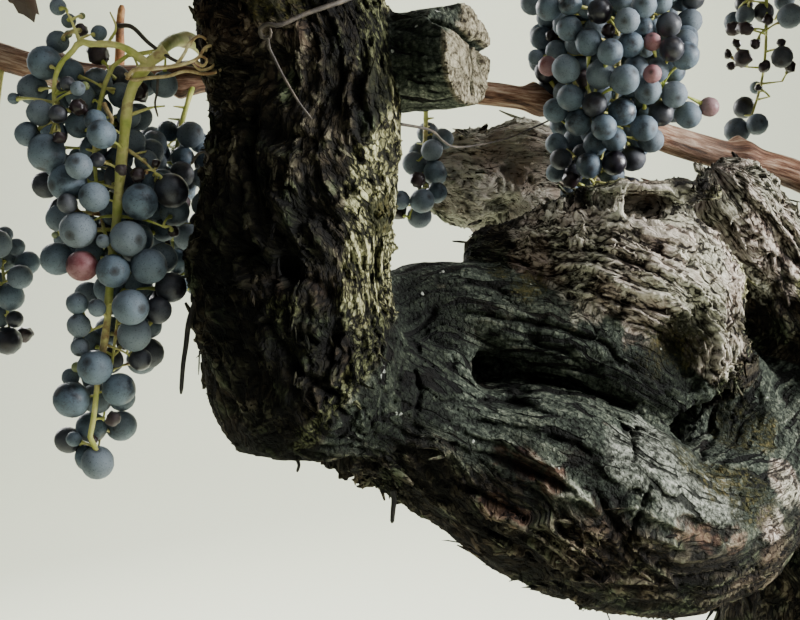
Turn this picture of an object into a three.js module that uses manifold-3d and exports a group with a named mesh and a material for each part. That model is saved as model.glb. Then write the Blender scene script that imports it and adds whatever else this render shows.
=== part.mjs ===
// An old head-trained grapevine with ripe black grapes, rooted in the ground.
// Millimetres, +Z up. The origin is the middle of the trunk's flat cut at ground level, and the
// side that shows the vine best faces -Y.
import * as THREE from "three";
import Module from "manifold-3d";

const wasm = await Module();
wasm.setup();

const CLEARANCE = 0.3; // gap left where two pieces meet

// How each kind of piece is coloured.
const OLD_BARK = { color: 0x4a443a, roughness: 0.95, metalness: 0 };
const CUT_WOOD = { color: 0x8d8468, roughness: 0.9, metalness: 0 };
const CANE_BARK = { color: 0x7d523a, roughness: 0.7, metalness: 0 };
const GREEN_STALK = { color: 0x8f9440, roughness: 0.6, metalness: 0 };
const GRAPE_SKIN = { color: 0x2c3a46, roughness: 0.6, metalness: 0 };
const AUTUMN_LEAF = { color: 0x8c8436, roughness: 0.8, metalness: 0 };

// How finely each kind is cut, and how deep the ropes and swellings of its surface are.
const TRUNK = { sides: 16, stepsEach: 2, depth: 0.1 };
const WOOD = { sides: 11, stepsEach: 3, depth: 0.07 };
const CANE = { sides: 6, stepsEach: 2, depth: 0.03 };
const BUNCH = { sides: 8, stepsEach: 2, depth: 0.1 };
const MASS = { sides: 12, rings: 9 };

const ROUND_CAP_RINGS = 2;
const ROUND_CAP_REACH = 0.7; // how far a round end stands out, in radii

// The smooth curve through a limb's stations, which are [x, y, z, radius], and a function that
// gives the radius at any share of its length.
function axisOf(stations) {
  const curve = new THREE.CatmullRomCurve3(
    stations.map(([x, y, z]) => new THREE.Vector3(x, y, z)), false, "catmullrom", 0.5);
  const radii = new THREE.CatmullRomCurve3(
    stations.map(([, , , r]) => new THREE.Vector3(r, 0, 0)), false, "catmullrom", 0.5);
  return { curve, radiusAt: (share) => radii.getPoint(curve.getUtoTmapping(share)).x };
}

// The share by which a section swells or shrinks at an angle round the limb: two long waves that
// wander along it, as old wood grows in ropes.
function ropes(angle, along, depth, seed) {
  return 1 + depth * (0.6 * Math.sin(2 * angle + seed + 1.3 * along)
    + 0.4 * Math.sin(3 * angle - 2.1 * seed - 0.9 * along));
}

// The rings that round off an end, each smaller and further out than the last.
function roundCap(ring, tangent, way) {
  const rings = [];
  for (let k = 1; k <= ROUND_CAP_RINGS; k++) {
    const out = k / (ROUND_CAP_RINGS + 1);
    const reach = way * out * ROUND_CAP_REACH * ring.radius;
    rings.push({
      ...ring,
      centre: ring.centre.clone().addScaledVector(tangent, reach),
      radius: ring.radius * Math.sqrt(1 - out * out),
    });
  }
  return rings;
}

// The middle point that closes an end: on the face of a sawn end, and proud of a round one.
function pole(ring, frames, kind, way, grow) {
  const bulge = kind === "round" ? 0.26 * ring.radius : grow;
  return ring.centre.clone().addScaledVector(frames.tangents[ring.frame], way * bulge);
}

// Joins rings of points, then a point at each end, into one solid.
function closedTube(points, rings, sides) {
  const faces = [];
  for (let i = 0; i + 1 < rings; i++) {
    for (let j = 0; j < sides; j++) {
      const a = i * sides + j;
      const b = i * sides + (j + 1) % sides;
      faces.push(a, b, b + sides, a, b + sides, a + sides);
    }
  }
  const last = (rings - 1) * sides;
  const tail = rings * sides;
  for (let j = 0; j < sides; j++) {
    const next = (j + 1) % sides;
    faces.push(tail, next, j, tail + 1, last + j, last + next);
  }
  return new wasm.Manifold(new wasm.Mesh({
    numProp: 3,
    vertProperties: new Float32Array(points.flatMap((p) => [p.x, p.y, p.z])),
    triVerts: new Uint32Array(faces),
  }));
}

// A closed tube of uneven round sections carried along the stations. An end is "round", or "sawn"
// where it is flat. grow thickens it on every side, to cut room for it out of a neighbour.
function limb(stations, shape, grow) {
  const { sides, stepsEach, depth, seed, start = "round", end = "round" } = shape;
  const { curve, radiusAt } = axisOf(stations);
  const steps = stepsEach * (stations.length - 1);
  const frames = curve.computeFrenetFrames(steps, false);
  const rings = [];
  for (let i = 0; i <= steps; i++) {
    const share = i / steps;
    const along = share * curve.getLength() / radiusAt(0.5);
    rings.push({ centre: curve.getPointAt(share), radius: radiusAt(share) + grow, along, frame: i });
  }
  const capped = [
    ...(start === "round" ? roundCap(rings[0], frames.tangents[0], -1).reverse() : []),
    ...rings,
    ...(end === "round" ? roundCap(rings[steps], frames.tangents[steps], 1) : []),
  ];
  const points = [];
  for (const ring of capped) {
    for (let j = 0; j < sides; j++) {
      const angle = 2 * Math.PI * j / sides;
      const reach = ring.radius * ropes(angle, ring.along, depth, seed);
      points.push(ring.centre.clone()
        .addScaledVector(frames.normals[ring.frame], reach * Math.cos(angle))
        .addScaledVector(frames.binormals[ring.frame], reach * Math.sin(angle)));
    }
  }
  points.push(pole(capped[0], frames, start, -1, grow));
  points.push(pole(capped[capped.length - 1], frames, end, 1, grow));
  return closedTube(points, capped.length, sides);
}

// A point on a mass of foliage: a ball of three radii whose surface swells and dips in lobes.
function lobed(direction, { centre, radii, seed }, grow) {
  const [x, y, z] = direction;
  const swell = 1 + 0.1 * Math.sin(3.1 * x + seed) * Math.cos(2.7 * y - seed)
    + 0.08 * Math.sin(4.3 * z + 2 * seed + 1.9 * x);
  return new THREE.Vector3(
    centre[0] + x * (radii[0] * swell + grow),
    centre[1] + y * (radii[1] * swell + grow),
    centre[2] + z * (radii[2] * swell + grow));
}

function mass(ball, grow) {
  const points = [];
  for (let i = 1; i < MASS.rings; i++) {
    const down = Math.PI * (1 - i / MASS.rings);
    for (let j = 0; j < MASS.sides; j++) {
      const round = 2 * Math.PI * j / MASS.sides;
      const flat = Math.sin(down);
      points.push(lobed([flat * Math.cos(round), flat * Math.sin(round), Math.cos(down)], ball, grow));
    }
  }
  points.push(lobed([0, 0, -1], ball, grow), lobed([0, 0, 1], ball, grow));
  return closedTube(points, MASS.rings - 1, MASS.sides);
}

const vine = new THREE.Group();
const placed = []; // a grown copy of each piece so far, which cuts room for it

function boxesMeet(a, b) {
  return [0, 1, 2].every((k) => a.min[k] < b.max[k] && b.min[k] < a.max[k]);
}

function largest(solid) {
  return solid.decompose().reduce((best, part) => (part.volume() > best.volume() ? part : best));
}

// Adds a piece to the vine. Room for the pieces already there is cut out of it, so limbs meet face
// to face at their crotches and boughs end inside the foliage.
function add(name, look, make, trim = (solid) => solid) {
  let solid = trim(make(0));
  for (const grown of placed) {
    if (boxesMeet(solid.boundingBox(), grown.boundingBox())) {
      if (solid.intersect(grown).volume() > 0) solid = largest(solid.subtract(grown));
    }
  }
  placed.push(make(CLEARANCE));
  const made = solid.getMesh();
  const geometry = new THREE.BufferGeometry();
  geometry.setAttribute("position", new THREE.BufferAttribute(made.vertProperties, made.numProp));
  geometry.setIndex(new THREE.BufferAttribute(made.triVerts, 1));
  const piece = new THREE.Mesh(geometry, new THREE.MeshStandardMaterial(look));
  piece.name = name;
  vine.add(piece);
}

function addLimb(name, look, kind, seed, stations, ends = {}, trim) {
  add(name, look, (grow) => limb(stations, { ...kind, seed, ...ends }, grow), trim);
}

// The trunk, from a flat cut at ground level with its root flare up to the gnarled head. It starts
// below the ground, so that the cut is a true plane.
addLimb("trunk", OLD_BARK, TRUNK, 0.6, [
  [0, 0, -40, 118], [0, 0, 0, 106], [-5, 4, 60, 82], [-14, 7, 170, 69], [-15, 4, 300, 63],
  [-4, -2, 440, 62], [12, 2, 560, 65], [18, 9, 650, 66], [22, 14, 715, 50],
], {}, (solid) => solid.trimByPlane([0, 0, 1], 0));

// The old arms that leave the head. The lower limb comes forward, sags, and runs out to the left to
// the elbow, where the front arm turns up. The upper limb lies over it, with a burl on its back.
addLimb("lower_limb", OLD_BARK, WOOD, 1.7, [
  [8, 24, 690, 38], [-25, 2, 679, 33], [-48, -28, 657, 35], [-70, -56, 638, 38],
  [-102, -73, 631, 42], [-141, -80, 646, 49], [-183, -86, 663, 45], [-224, -91, 682, 34],
  [-286, -104, 717, 33],
]);
addLimb("front_arm", OLD_BARK, WOOD, 2.9, [
  [-291, -110, 718, 44], [-291, -110, 770, 46], [-285, -107, 834, 43], [-293, -93, 900, 43],
  [-279, -67, 982, 32], [-266, -44, 1082, 20],
]);
addLimb("upper_limb", OLD_BARK, WOOD, 4.1, [
  [-262, -90, 734, 24], [-225, -72, 746, 21], [-175, -67, 735, 25], [-132, -67, 718, 22],
  [-106, -62, 699, 17],
]);
addLimb("burl", OLD_BARK, WOOD, 5.3, [
  [-184, -48, 764, 20], [-156, -50, 767, 31], [-124, -55, 762, 37], [-97, -54, 749, 31],
  [-86, -53, 724, 21],
]);
addLimb("right_arm", OLD_BARK, WOOD, 2.2, [
  [16, 9, 668, 38], [-12, 5, 722, 30], [-42, -6, 768, 28], [-56, -10, 790, 24],
]);
addLimb("back_arm", OLD_BARK, WOOD, 3.4, [
  [16, 22, 680, 42], [-54, 56, 728, 35], [-116, 72, 775, 37], [-165, 66, 803, 39],
  [-196, 58, 809, 30],
]);
addLimb("rear_arm", OLD_BARK, WOOD, 0.9, [
  [24, 22, 700, 46], [48, 36, 780, 40], [64, 50, 870, 36], [66, 58, 970, 31], [56, 60, 1090, 22],
]);

// A stub of an old limb, sawn off square and weathered pale.
addLimb("cut_spur", CUT_WOOD, WOOD, 1.2, [
  [-266, -78, 858, 24], [-238, -94, 860, 22.5], [-209, -111, 862, 23],
], { end: "sawn" });

// Last year's canes, which carry the fruit. The long cane runs level behind the front arm.
addLimb("long_cane", CANE_BARK, CANE, 0.3, [
  [46, 46, 775, 10], [-4, 32, 808, 9], [-68, 22, 825, 8], [-152, 0, 848, 6.6],
  [-215, -9, 856, 6], [-300, -8, 862, 6.4], [-403, -26, 861, 7], [-462, -33, 874, 6.8],
]);
addLimb("long_cane_tip", CANE_BARK, CANE, 1.1, [
  [-466, -34, 876, 6.8], [-512, -38, 910, 6.4], [-542, -36, 965, 6], [-552, -28, 1045, 5.4],
]);
addLimb("upper_cane", CANE_BARK, CANE, 1.4, [
  [-276, -62, 972, 8], [-236, -48, 980, 7], [-122, -12, 986, 6.2], [-66, 8, 1006, 6],
  [-34, 24, 1060, 5.6], [-28, 32, 1120, 5.2],
]);
addLimb("back_cane", CANE_BARK, CANE, 2.5, [
  [58, 62, 930, 8], [-20, 108, 988, 7.2], [-110, 152, 1012, 6.6], [-176, 190, 1060, 6],
  [-196, 210, 1110, 5.6],
]);
addLimb("right_cane", CANE_BARK, CANE, 3.6, [
  [70, 50, 905, 8], [120, 24, 940, 7.4], [186, 6, 958, 7], [232, -8, 990, 6.4],
  [246, -12, 1040, 5.6],
]);
addLimb("rear_cane", CANE_BARK, CANE, 5.1, [
  [70, 62, 948, 8], [104, 122, 986, 7], [118, 180, 1004, 6.6], [122, 226, 1046, 6],
]);
addLimb("fruit_shoot", GREEN_STALK, CANE, 0.7, [
  [-334, -16, 862, 4.2], [-341, -50, 874, 3.8], [-345, -84, 873, 3.4], [-346, -106, 868, 3],
]);

// Bunches of black grapes. Each hangs from a cane by its stalk, and its solid is its outline.
const BUNCHES = {
  bunch_front: [
    [-346, -110, 864, 3], [-368, -112, 858, 24], [-377, -115, 826, 31], [-375, -118, 792, 29],
    [-367, -122, 759, 24], [-369, -125, 728, 19], [-377, -130, 678, 9],
  ],
  bunch_behind_arm: [
    [-350, -21, 857, 3], [-354, -38, 832, 19], [-358, -42, 802, 21], [-358, -44, 776, 19],
    [-355, -46, 748, 11],
  ],
  bunch_far_left: [
    [-447, -32, 866, 3], [-446, -54, 820, 3], [-440, -74, 785, 8], [-435, -76, 764, 15],
    [-431, -80, 730, 9],
  ],
  bunch_upper: [
    [-126, -13, 977, 4], [-126, -15, 950, 30], [-125, -17, 905, 44], [-124, -20, 858, 41],
    [-131, -21, 824, 26], [-138, -22, 800, 12],
  ],
  bunch_rear: [
    [-20, 108, 978, 3], [-12, 98, 950, 14], [-9, 96, 910, 23], [-12, 91, 872, 22],
    [-23, 88, 834, 10],
  ],
  bunch_middle: [
    [-226, -9, 853, 3], [-226, 5, 830, 12], [-229, 6, 804, 14], [-235, 5, 786, 9],
  ],
  bunch_right: [
    [182, 5, 948, 3], [181, 4, 918, 22], [181, 4, 880, 33], [180, 2, 836, 28], [177, 2, 790, 12],
  ],
  bunch_back: [
    [108, 140, 986, 3], [108, 142, 958, 20], [109, 142, 920, 32], [106, 140, 880, 28],
    [104, 140, 836, 12],
  ],
  bunch_left: [
    [-508, -40, 900, 3], [-512, -42, 876, 18], [-514, -42, 845, 28], [-512, -42, 812, 22],
    [-510, -42, 782, 10],
  ],
};
for (const [i, [name, stations]] of Object.entries(BUNCHES).entries()) {
  addLimb(name, GRAPE_SKIN, BUNCH, 1.1 + 0.8 * i, stations);
}

// The leafy growth of the year, in masses with sky between them. Each takes in the end of the arm
// or cane that bears it.
const LEAFY_MASSES = {
  foliage_front: { centre: [-280, -86, 1258], radii: [146, 168, 205], seed: 0.5 },
  foliage_left: { centre: [-512, 4, 1200], radii: [148, 182, 205], seed: 1.6 },
  foliage_back: { centre: [-215, 262, 1245], radii: [205, 165, 205], seed: 2.4 },
  foliage_right: { centre: [205, -20, 1205], radii: [180, 190, 250], seed: 3.3 },
  foliage_rear: { centre: [115, 290, 1215], radii: [175, 165, 225], seed: 4.6 },
  foliage_top: { centre: [-20, 62, 1330], radii: [165, 165, 240], seed: 5.7 },
};
for (const [name, ball] of Object.entries(LEAFY_MASSES)) {
  add(name, AUTUMN_LEAF, (grow) => mass(ball, grow));
}

export default vine;
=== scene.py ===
import concurrent.futures
import math
import bpy
import numpy as np
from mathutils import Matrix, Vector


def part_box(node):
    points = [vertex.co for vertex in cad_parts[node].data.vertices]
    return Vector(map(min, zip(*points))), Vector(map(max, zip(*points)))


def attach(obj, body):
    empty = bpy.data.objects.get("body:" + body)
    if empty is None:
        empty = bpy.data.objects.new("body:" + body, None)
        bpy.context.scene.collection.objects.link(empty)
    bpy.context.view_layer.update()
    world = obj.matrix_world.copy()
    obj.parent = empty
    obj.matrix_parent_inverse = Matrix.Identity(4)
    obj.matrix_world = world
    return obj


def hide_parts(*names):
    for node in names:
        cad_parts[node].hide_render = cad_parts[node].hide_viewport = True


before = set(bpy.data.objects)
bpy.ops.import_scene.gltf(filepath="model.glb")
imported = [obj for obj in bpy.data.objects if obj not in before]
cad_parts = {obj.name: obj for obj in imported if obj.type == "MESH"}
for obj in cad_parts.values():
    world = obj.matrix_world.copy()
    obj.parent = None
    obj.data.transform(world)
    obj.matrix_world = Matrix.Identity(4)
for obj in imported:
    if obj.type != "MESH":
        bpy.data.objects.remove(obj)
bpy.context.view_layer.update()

MM = 0.001

# The view: a close look at the arms and the fruit, from a little above the burl and tilted down.
# Half a metre from the camera one pixel of the 800 x 620 picture is 0.45 mm.
CAMERA_PLACE = (-0.24, -0.62, 0.80)
CAMERA_TILT_DOWN = math.radians(6)

camera = bpy.data.objects.new("camera", bpy.data.cameras.new("camera"))
camera.data.lens = 50
camera.data.sensor_width = 36
camera.data.clip_start = 0.02
camera.location = CAMERA_PLACE
camera.rotation_euler = (math.pi / 2 - CAMERA_TILT_DOWN, 0, 0)
bpy.context.scene.collection.objects.link(camera)
bpy.context.scene.camera = camera

# Floor and wall: one pale sweep of paper, far enough behind to stay plain.
SWEEP_WIDTH = 14.0
SWEEP_FRONT = -6.0
SWEEP_BACK = 4.0
SWEEP_BEND = 1.5
SWEEP_HEIGHT = 6.0
SWEEP_ROWS = 90


def sweep_profile(share):
    """The sweep's section: level to the bend, a quarter circle of radius SWEEP_BEND, then upright."""
    level = SWEEP_BACK - SWEEP_BEND - SWEEP_FRONT
    bend = SWEEP_BEND * math.pi / 2
    upright = SWEEP_HEIGHT - SWEEP_BEND
    d = share * (level + bend + upright)
    turn = np.clip((d - level) / SWEEP_BEND, 0, math.pi / 2)
    y = SWEEP_FRONT + np.minimum(d, level) + SWEEP_BEND * np.sin(turn)
    z = SWEEP_BEND * (1 - np.cos(turn)) + np.maximum(d - level - bend, 0)
    return y, z


def grid_faces(rows, columns, closed=False):
    """Quads between the rows of a grid of points; closed joins each row's end to its start."""
    i, j = np.meshgrid(np.arange(rows - 1), np.arange(columns if closed else columns - 1), indexing="ij")
    k = (j + 1) % columns
    a, b = i * columns + j, i * columns + k
    return np.stack([a, b, b + columns, a + columns], -1).reshape(-1, 4)


def new_piece(name, points, faces, *materials):
    """A smooth mesh object from an array of points and one or more arrays of faces, each array with
    its own number of corners to a face."""
    faces = [faces] if isinstance(faces, np.ndarray) else faces
    corners = np.concatenate([part.ravel() for part in faces]).astype(np.int32)
    counts = np.concatenate([np.full(len(part), part.shape[1]) for part in faces])
    mesh = bpy.data.meshes.new(name)
    mesh.vertices.add(len(points))
    mesh.vertices.foreach_set("co", np.ascontiguousarray(points, np.float32).ravel())
    mesh.loops.add(len(corners))
    mesh.loops.foreach_set("vertex_index", corners)
    mesh.polygons.add(len(counts))
    mesh.polygons.foreach_set("loop_start", np.r_[0, np.cumsum(counts)[:-1]].astype(np.int32))
    mesh.polygons.foreach_set("use_smooth", np.ones(len(counts), bool))
    mesh.update(calc_edges=True)
    for material in materials:
        mesh.materials.append(material)
    piece = bpy.data.objects.new(name, mesh)
    bpy.context.scene.collection.objects.link(piece)
    return piece


def surface(name, roughness):
    """A material with only its Principled shader: it, its node tree and that shader."""
    material = bpy.data.materials.new(name)
    material.use_nodes = True
    shader = material.node_tree.nodes["Principled BSDF"]
    shader.inputs["Roughness"].default_value = roughness
    return material, material.node_tree, shader


paper, _, shader = surface("paper", 0.9)
shader.inputs["Base Color"].default_value = (0.76, 0.79, 0.62, 1)
sweep_y, sweep_z = sweep_profile(np.linspace(0, 1, SWEEP_ROWS))
sweep_x = np.array([-SWEEP_WIDTH / 2, SWEEP_WIDTH / 2])
sweep_points = np.stack(np.broadcast_arrays(sweep_x[None], sweep_y[:, None], sweep_z[:, None]), -1)
sweep = new_piece("sweep", sweep_points.reshape(-1, 3), grid_faces(SWEEP_ROWS, 2), paper)

# The light: a soft sky from above and behind on the right, a weaker one from the upper left, and
# little from the front, so the near side of the arms stays dark.
# Each has its place, what it points at, its size in metres and its watts.
SOFT_LIGHTS = {
    "right": ((1.1, -0.25, 1.12), (-0.15, -0.05, 0.8), 0.5, 66),
    "right_behind": ((0.9, 0.75, 1.3), (-0.15, 0.05, 0.85), 0.6, 26),
    "back_left": ((-1.1, 1.2, 1.25), (-0.25, 0, 0.8), 0.9, 30),
    "above": ((0.8, -0.4, 2.3), (-0.1, 0, 0.85), 1.2, 26),
    "front": ((-0.9, -2.6, 1.5), (-0.2, 0, 0.8), 2.2, 2.5),
    "paper": ((0, 1.6, 3.6), (0, 3.4, 0.9), 2.4, 210),
}
for name, (stand, towards, size, watts) in SOFT_LIGHTS.items():
    data = bpy.data.lights.new(name, "AREA")
    data.size = size
    data.energy = watts
    light = bpy.data.objects.new(name, data)
    light.location = stand
    way = np.array(towards) - np.array(stand)
    yaw = math.atan2(way[1], way[0]) - math.pi / 2
    pitch = math.atan2(way[2], math.hypot(way[0], way[1])) + math.pi / 2
    light.rotation_euler = (pitch, 0, yaw)
    bpy.context.scene.collection.objects.link(light)
world = bpy.data.worlds.new("studio")
world.use_nodes = True
world.node_tree.nodes["Background"].inputs["Color"].default_value = (0.86, 0.93, 1.0, 1)
world.node_tree.nodes["Background"].inputs["Strength"].default_value = 0.16
bpy.context.scene.world = world

# The old wood: trunk and arms, many years thick, which melt into each other at their crotches. Each
# limb is a round section carried along a smooth line through its stations, (x, y, z, radius) in mm.
# The bark's relief is cut into that shape as a solid, so flakes can stand off and cracks can bite in.
STATIONS = {
    "trunk": [(0, 0, -40, 118), (0, 0, 0, 106), (-5, 4, 60, 82), (-14, 7, 170, 69), (-15, 4, 300, 63),
        (-4, -2, 440, 62), (12, 2, 560, 65), (18, 9, 650, 66), (22, 14, 715, 50)],
    "lower_limb": [(8, 24, 690, 38), (-25, 2, 679, 33), (-48, -28, 657, 35), (-70, -56, 638, 38),
        (-102, -73, 631, 42), (-141, -80, 646, 49), (-183, -86, 663, 45), (-224, -91, 682, 34),
        (-286, -104, 717, 33)],
    "front_arm": [(-284, -110, 718, 42), (-290, -110, 766, 45.5), (-283, -107, 834, 41),
        (-291, -93, 900, 42), (-279, -67, 982, 32), (-266, -44, 1082, 20)],
    "upper_limb": [(-262, -90, 734, 24), (-225, -72, 746, 21), (-175, -67, 735, 25), (-132, -67, 718, 22),
        (-106, -62, 699, 17)],
    "burl": [(-184, -48, 764, 20), (-156, -50, 767, 31), (-124, -55, 762, 37), (-97, -54, 749, 31),
        (-86, -53, 724, 21)],
    "right_arm": [(16, 9, 668, 38), (-12, 5, 722, 30), (-42, -6, 768, 28), (-56, -10, 790, 24)],
    "back_arm": [(16, 22, 680, 42), (-54, 56, 728, 35), (-116, 72, 775, 37), (-165, 66, 803, 39),
        (-196, 58, 809, 30)],
    "rear_arm": [(24, 22, 700, 46), (48, 36, 780, 40), (64, 50, 870, 36), (66, 58, 970, 31),
        (56, 60, 1090, 22)],
    "cut_spur": [(-266, -78, 858, 24), (-238, -94, 860, 22.5), (-209, -111, 862, 23), (-192, -121, 863, 23)],
}
AXIS_SPACING = 4 * MM


def unit(vectors):
    """Vectors at length 1."""
    return vectors / (np.linalg.norm(vectors, axis=-1, keepdims=True) + 1e-12)


def straight_between(places, along, line):
    """A line's columns at places along it, straight between its own points."""
    return np.stack([np.interp(places, along, column) for column in line.T], 1)


def length_along(line):
    """The distance along a line at each of its points."""
    return np.r_[0, np.cumsum(np.linalg.norm(np.diff(line[:, :3], axis=0), axis=1))]


def smooth_line(stations, spacing):
    """Catmull-Rom: between b and c, (2b + (c - a)t + (2a - 5b + 4c - d)t^2 + (3b - a - 3c + d)t^3) / 2,
    then points at equal spacing along it. The fourth column, the radius, is carried the same way."""
    s = np.array(stations, float)
    s = np.vstack([2 * s[0] - s[1], s, 2 * s[-1] - s[-2]])
    a, b, c, d = s[:-3, None], s[1:-2, None], s[2:-1, None], s[3:, None]
    t = np.linspace(0, 1, 20, endpoint=False)[:, None]
    line = 2 * b + (c - a) * t + (2 * a - 5 * b + 4 * c - d) * t ** 2 + (3 * b - a - 3 * c + d) * t ** 3
    line = np.vstack([line.reshape(-1, s.shape[1]) / 2, s[-2]]) * MM
    length = length_along(line)
    steps = np.linspace(0, length[-1], max(int(round(length[-1] / spacing)), 2) + 1)
    return straight_between(steps, length, line), steps


def carried_frames(line):
    """At each point of a line its direction and two directions across it, turned no more than the
    line itself turns: each across is the last one with its part along the new direction taken out."""
    along = unit(np.gradient(line, axis=0))
    side = [unit(np.cross(along[0], (0, 1, 0) if abs(along[0][1]) < 0.9 else (1, 0, 0)))]
    for direction in along[1:]:
        side.append(unit(side[-1] - direction * side[-1].dot(direction)))
    side = np.array(side)
    return along, side, np.cross(along, side)


def single(values):
    """Values as an array in single precision, which makes the large arrays quick."""
    return np.asarray(values, np.float32)


def make_limb(stations):
    """A limb's line, radii, distances along it, directions along and across it, and mean radius."""
    line, steps = smooth_line(stations, AXIS_SPACING)
    along, side, across = carried_frames(line[:, :3])
    parts = dict(line=line[:, :3], radius=line[:, 3], steps=steps, along=along, side=side, across=across)
    return {**{key: single(part) for key, part in parts.items()}, "girth": line[:, 3].mean()}


LIMBS = {name: make_limb(stations) for name, stations in STATIONS.items()}

# The front arm's bark runs on round the elbow and along the underside of the lower limb, so the
# grain there follows a longer line.
GRAIN = {**LIMBS, "front_arm": make_limb([
    (-196, -94, 657, 18), (-232, -95, 668, 27), (-262, -102, 686, 36), (-282, -109, 716, 41),
    *STATIONS["front_arm"][1:]])}


def around(limb, points):
    """Each point in a limb's own terms: its height off the limb's round surface, its distance along
    the limb, its place (cosine, sine) round the section, and the way out from the line."""
    line = limb["line"]
    square = (line ** 2).sum(1)
    near = np.concatenate([
        np.argmin(square - 2 * part @ line.T, axis=1)
        for part in np.array_split(points, max(len(points) // 20000, 1))
    ])
    offset = points - line[near]
    along = limb["along"][near]
    ahead = (offset * along).sum(1)
    inner = np.clip(ahead, -AXIS_SPACING, AXIS_SPACING)
    offset -= inner[:, None] * along
    distance = np.sqrt((offset ** 2).sum(1)) + 1e-6
    s = limb["steps"][near] + inner
    radius = single(np.interp(s, limb["steps"], limb["radius"]))
    u, v = (offset * limb["side"][near]).sum(1), (offset * limb["across"][near]).sum(1)
    flat = np.maximum(np.hypot(u, v), 1e-6)
    return distance - radius, s + (ahead - inner), u / flat, v / flat, offset / distance[:, None]


NOISE_CELLS = 64
HEIGHTS = single(np.random.default_rng(7).uniform(-1, 1, NOISE_CELLS ** 3))


def noise(points, size, seed=0):
    """Value noise from -1 to 1: random heights at the corners of cells of that size (one number, or
    one for each axis), joined by smooth steps 3f^2 - 2f^3."""
    p = points / single(size) + single([17.3, 5.1, 9.7]) * seed
    cell = np.floor(p)
    f = p - cell
    f = f * f * (3 - 2 * f)
    low = cell.astype(np.int32) & (NOISE_CELLS - 1)
    high = (low + 1) & (NOISE_CELLS - 1)
    x0, y0, z0 = low[:, 0] * NOISE_CELLS ** 2, low[:, 1] * NOISE_CELLS, low[:, 2]
    x1, y1, z1 = high[:, 0] * NOISE_CELLS ** 2, high[:, 1] * NOISE_CELLS, high[:, 2]
    edges = []
    for y, z in ((y0, z0), (y1, z0), (y0, z1), (y1, z1)):
        start = HEIGHTS.take(x0 + y + z)
        edges.append(start + (HEIGHTS.take(x1 + y + z) - start) * f[:, 0])
    near = edges[0] + (edges[1] - edges[0]) * f[:, 1]
    far = edges[2] + (edges[3] - edges[2]) * f[:, 1]
    return near + (far - near) * f[:, 2]


def fade(low, high, value):
    """0 below low, 1 above high, and a smooth step between; it falls where low is the larger."""
    t = np.clip((value - low) / (high - low), 0, 1)
    return t * t * (3 - 2 * t)


def melt(a, b, width):
    """The union of two solids with a fillet: the smaller height less (width - |a - b|)^2 / 4 width."""
    return np.minimum(a, b) - np.maximum(width - np.abs(a - b), 0) ** 2 / (4 * width)


# How softly each limb runs into the wood before it, in mm; how fast its grain turns round it; and the
# width and length of its strips of bark, as shares of the trunk's.
RUN = {
    "trunk": (30, 2.2, 1.1, 0.9), "lower_limb": (22, -1.5, 0.55, 0.85), "front_arm": (24, 1.8, 0.52, 0.42),
    "upper_limb": (7, 2.0, 0.75, 0.95), "burl": (8, -3.0, 0.34, 0.7), "right_arm": (16, 4.0, 0.6, 0.5),
    "back_arm": (20, 3.0, 0.75, 0.65), "rear_arm": (24, -2.0, 0.9, 0.7), "cut_spur": (7, 0.5, 0.75, 1.3),
}
LEAN = 0.8

# Swells and hollows in the wood: middle (x, y, z) and half sizes in mm. The swells close the back of
# the slit between the two limbs and of the mossy pocket by the trunk. The hollows are the pit in the
# burl's top, the hole between the limbs, the pocket and craters on the short arms.
SWELLS = [
    ((-165, -62, 706), (66, 20, 15)), ((-74, -26, 690), (34, 22, 34)), ((-250, -98, 716), (26, 20, 24)),
    ((-220, -86, 722), (18, 13, 18)), ((-120, -62, 801), (25, 9, 4)), ((-88, -66, 722), (13, 17, 24)),
    ((-87, -58, 684), (8, 9, 10)),
]
HOLLOWS = [
    ((-119, -76, 794), (18, 24, 7)), ((-194, -86, 712), (13, 22, 8)), ((-88, -74, 686), (20, 24, 11)),
    ((-176, -98, 709), (13, 22, 3.5)), ((-156, -98, 704), (16, 18, 2.6)), ((-133, -98, 697), (15, 18, 3)),
    ((-114, -96, 686), (10, 16, 3.5)), ((-58, -42, 783), (6, 9, 8)), ((-42, -36, 768), (7, 8, 5)),
    ((-66, -36, 760), (6, 8, 5)), ((-176, 28, 812), (9, 10, 8)), ((-184, 30, 790), (12, 10, 6)),
    ((-279, -100, 662), (26, 45, 12)),
]


def egg(points, middle, half):
    """The height off an egg of those half sizes: (|offset / half sizes| - 1) times the least of them."""
    half = single(half) * MM
    offset = (points - single(middle) * MM) / half
    return (np.sqrt((offset ** 2).sum(1)) - 1) * half.min()


# How each kind of bark is made: the depth in mm of each of its shapes.
BARK_SHAPES = ("rope", "small", "strip", "plate", "crack", "fibre", "fray", "crumb", "lump")
BARKS = {
    "shaggy": (1.5, 1.5, 1.5, 1.4, 2.4, 0.8, 1.0, 0.3, 2.2),
    "strands": (1.5, 1.4, 1.5, 1.4, 2.8, 0.7, 0.3, 0.1, 2.0),
    "smooth": (0.35, 0.2, 0.25, 0.35, 1.8, 0.2, 0.1, 0.3, 2.2),
    "curly": (1.0, 1.3, 1.9, 1.8, 2.0, 0.9, 0.3, 0.2, 2.6),
    "crumbly": (0.9, 1.2, 1.2, 1.1, 1.5, 0.6, 1.0, 1.3, 2.2),
}

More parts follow.
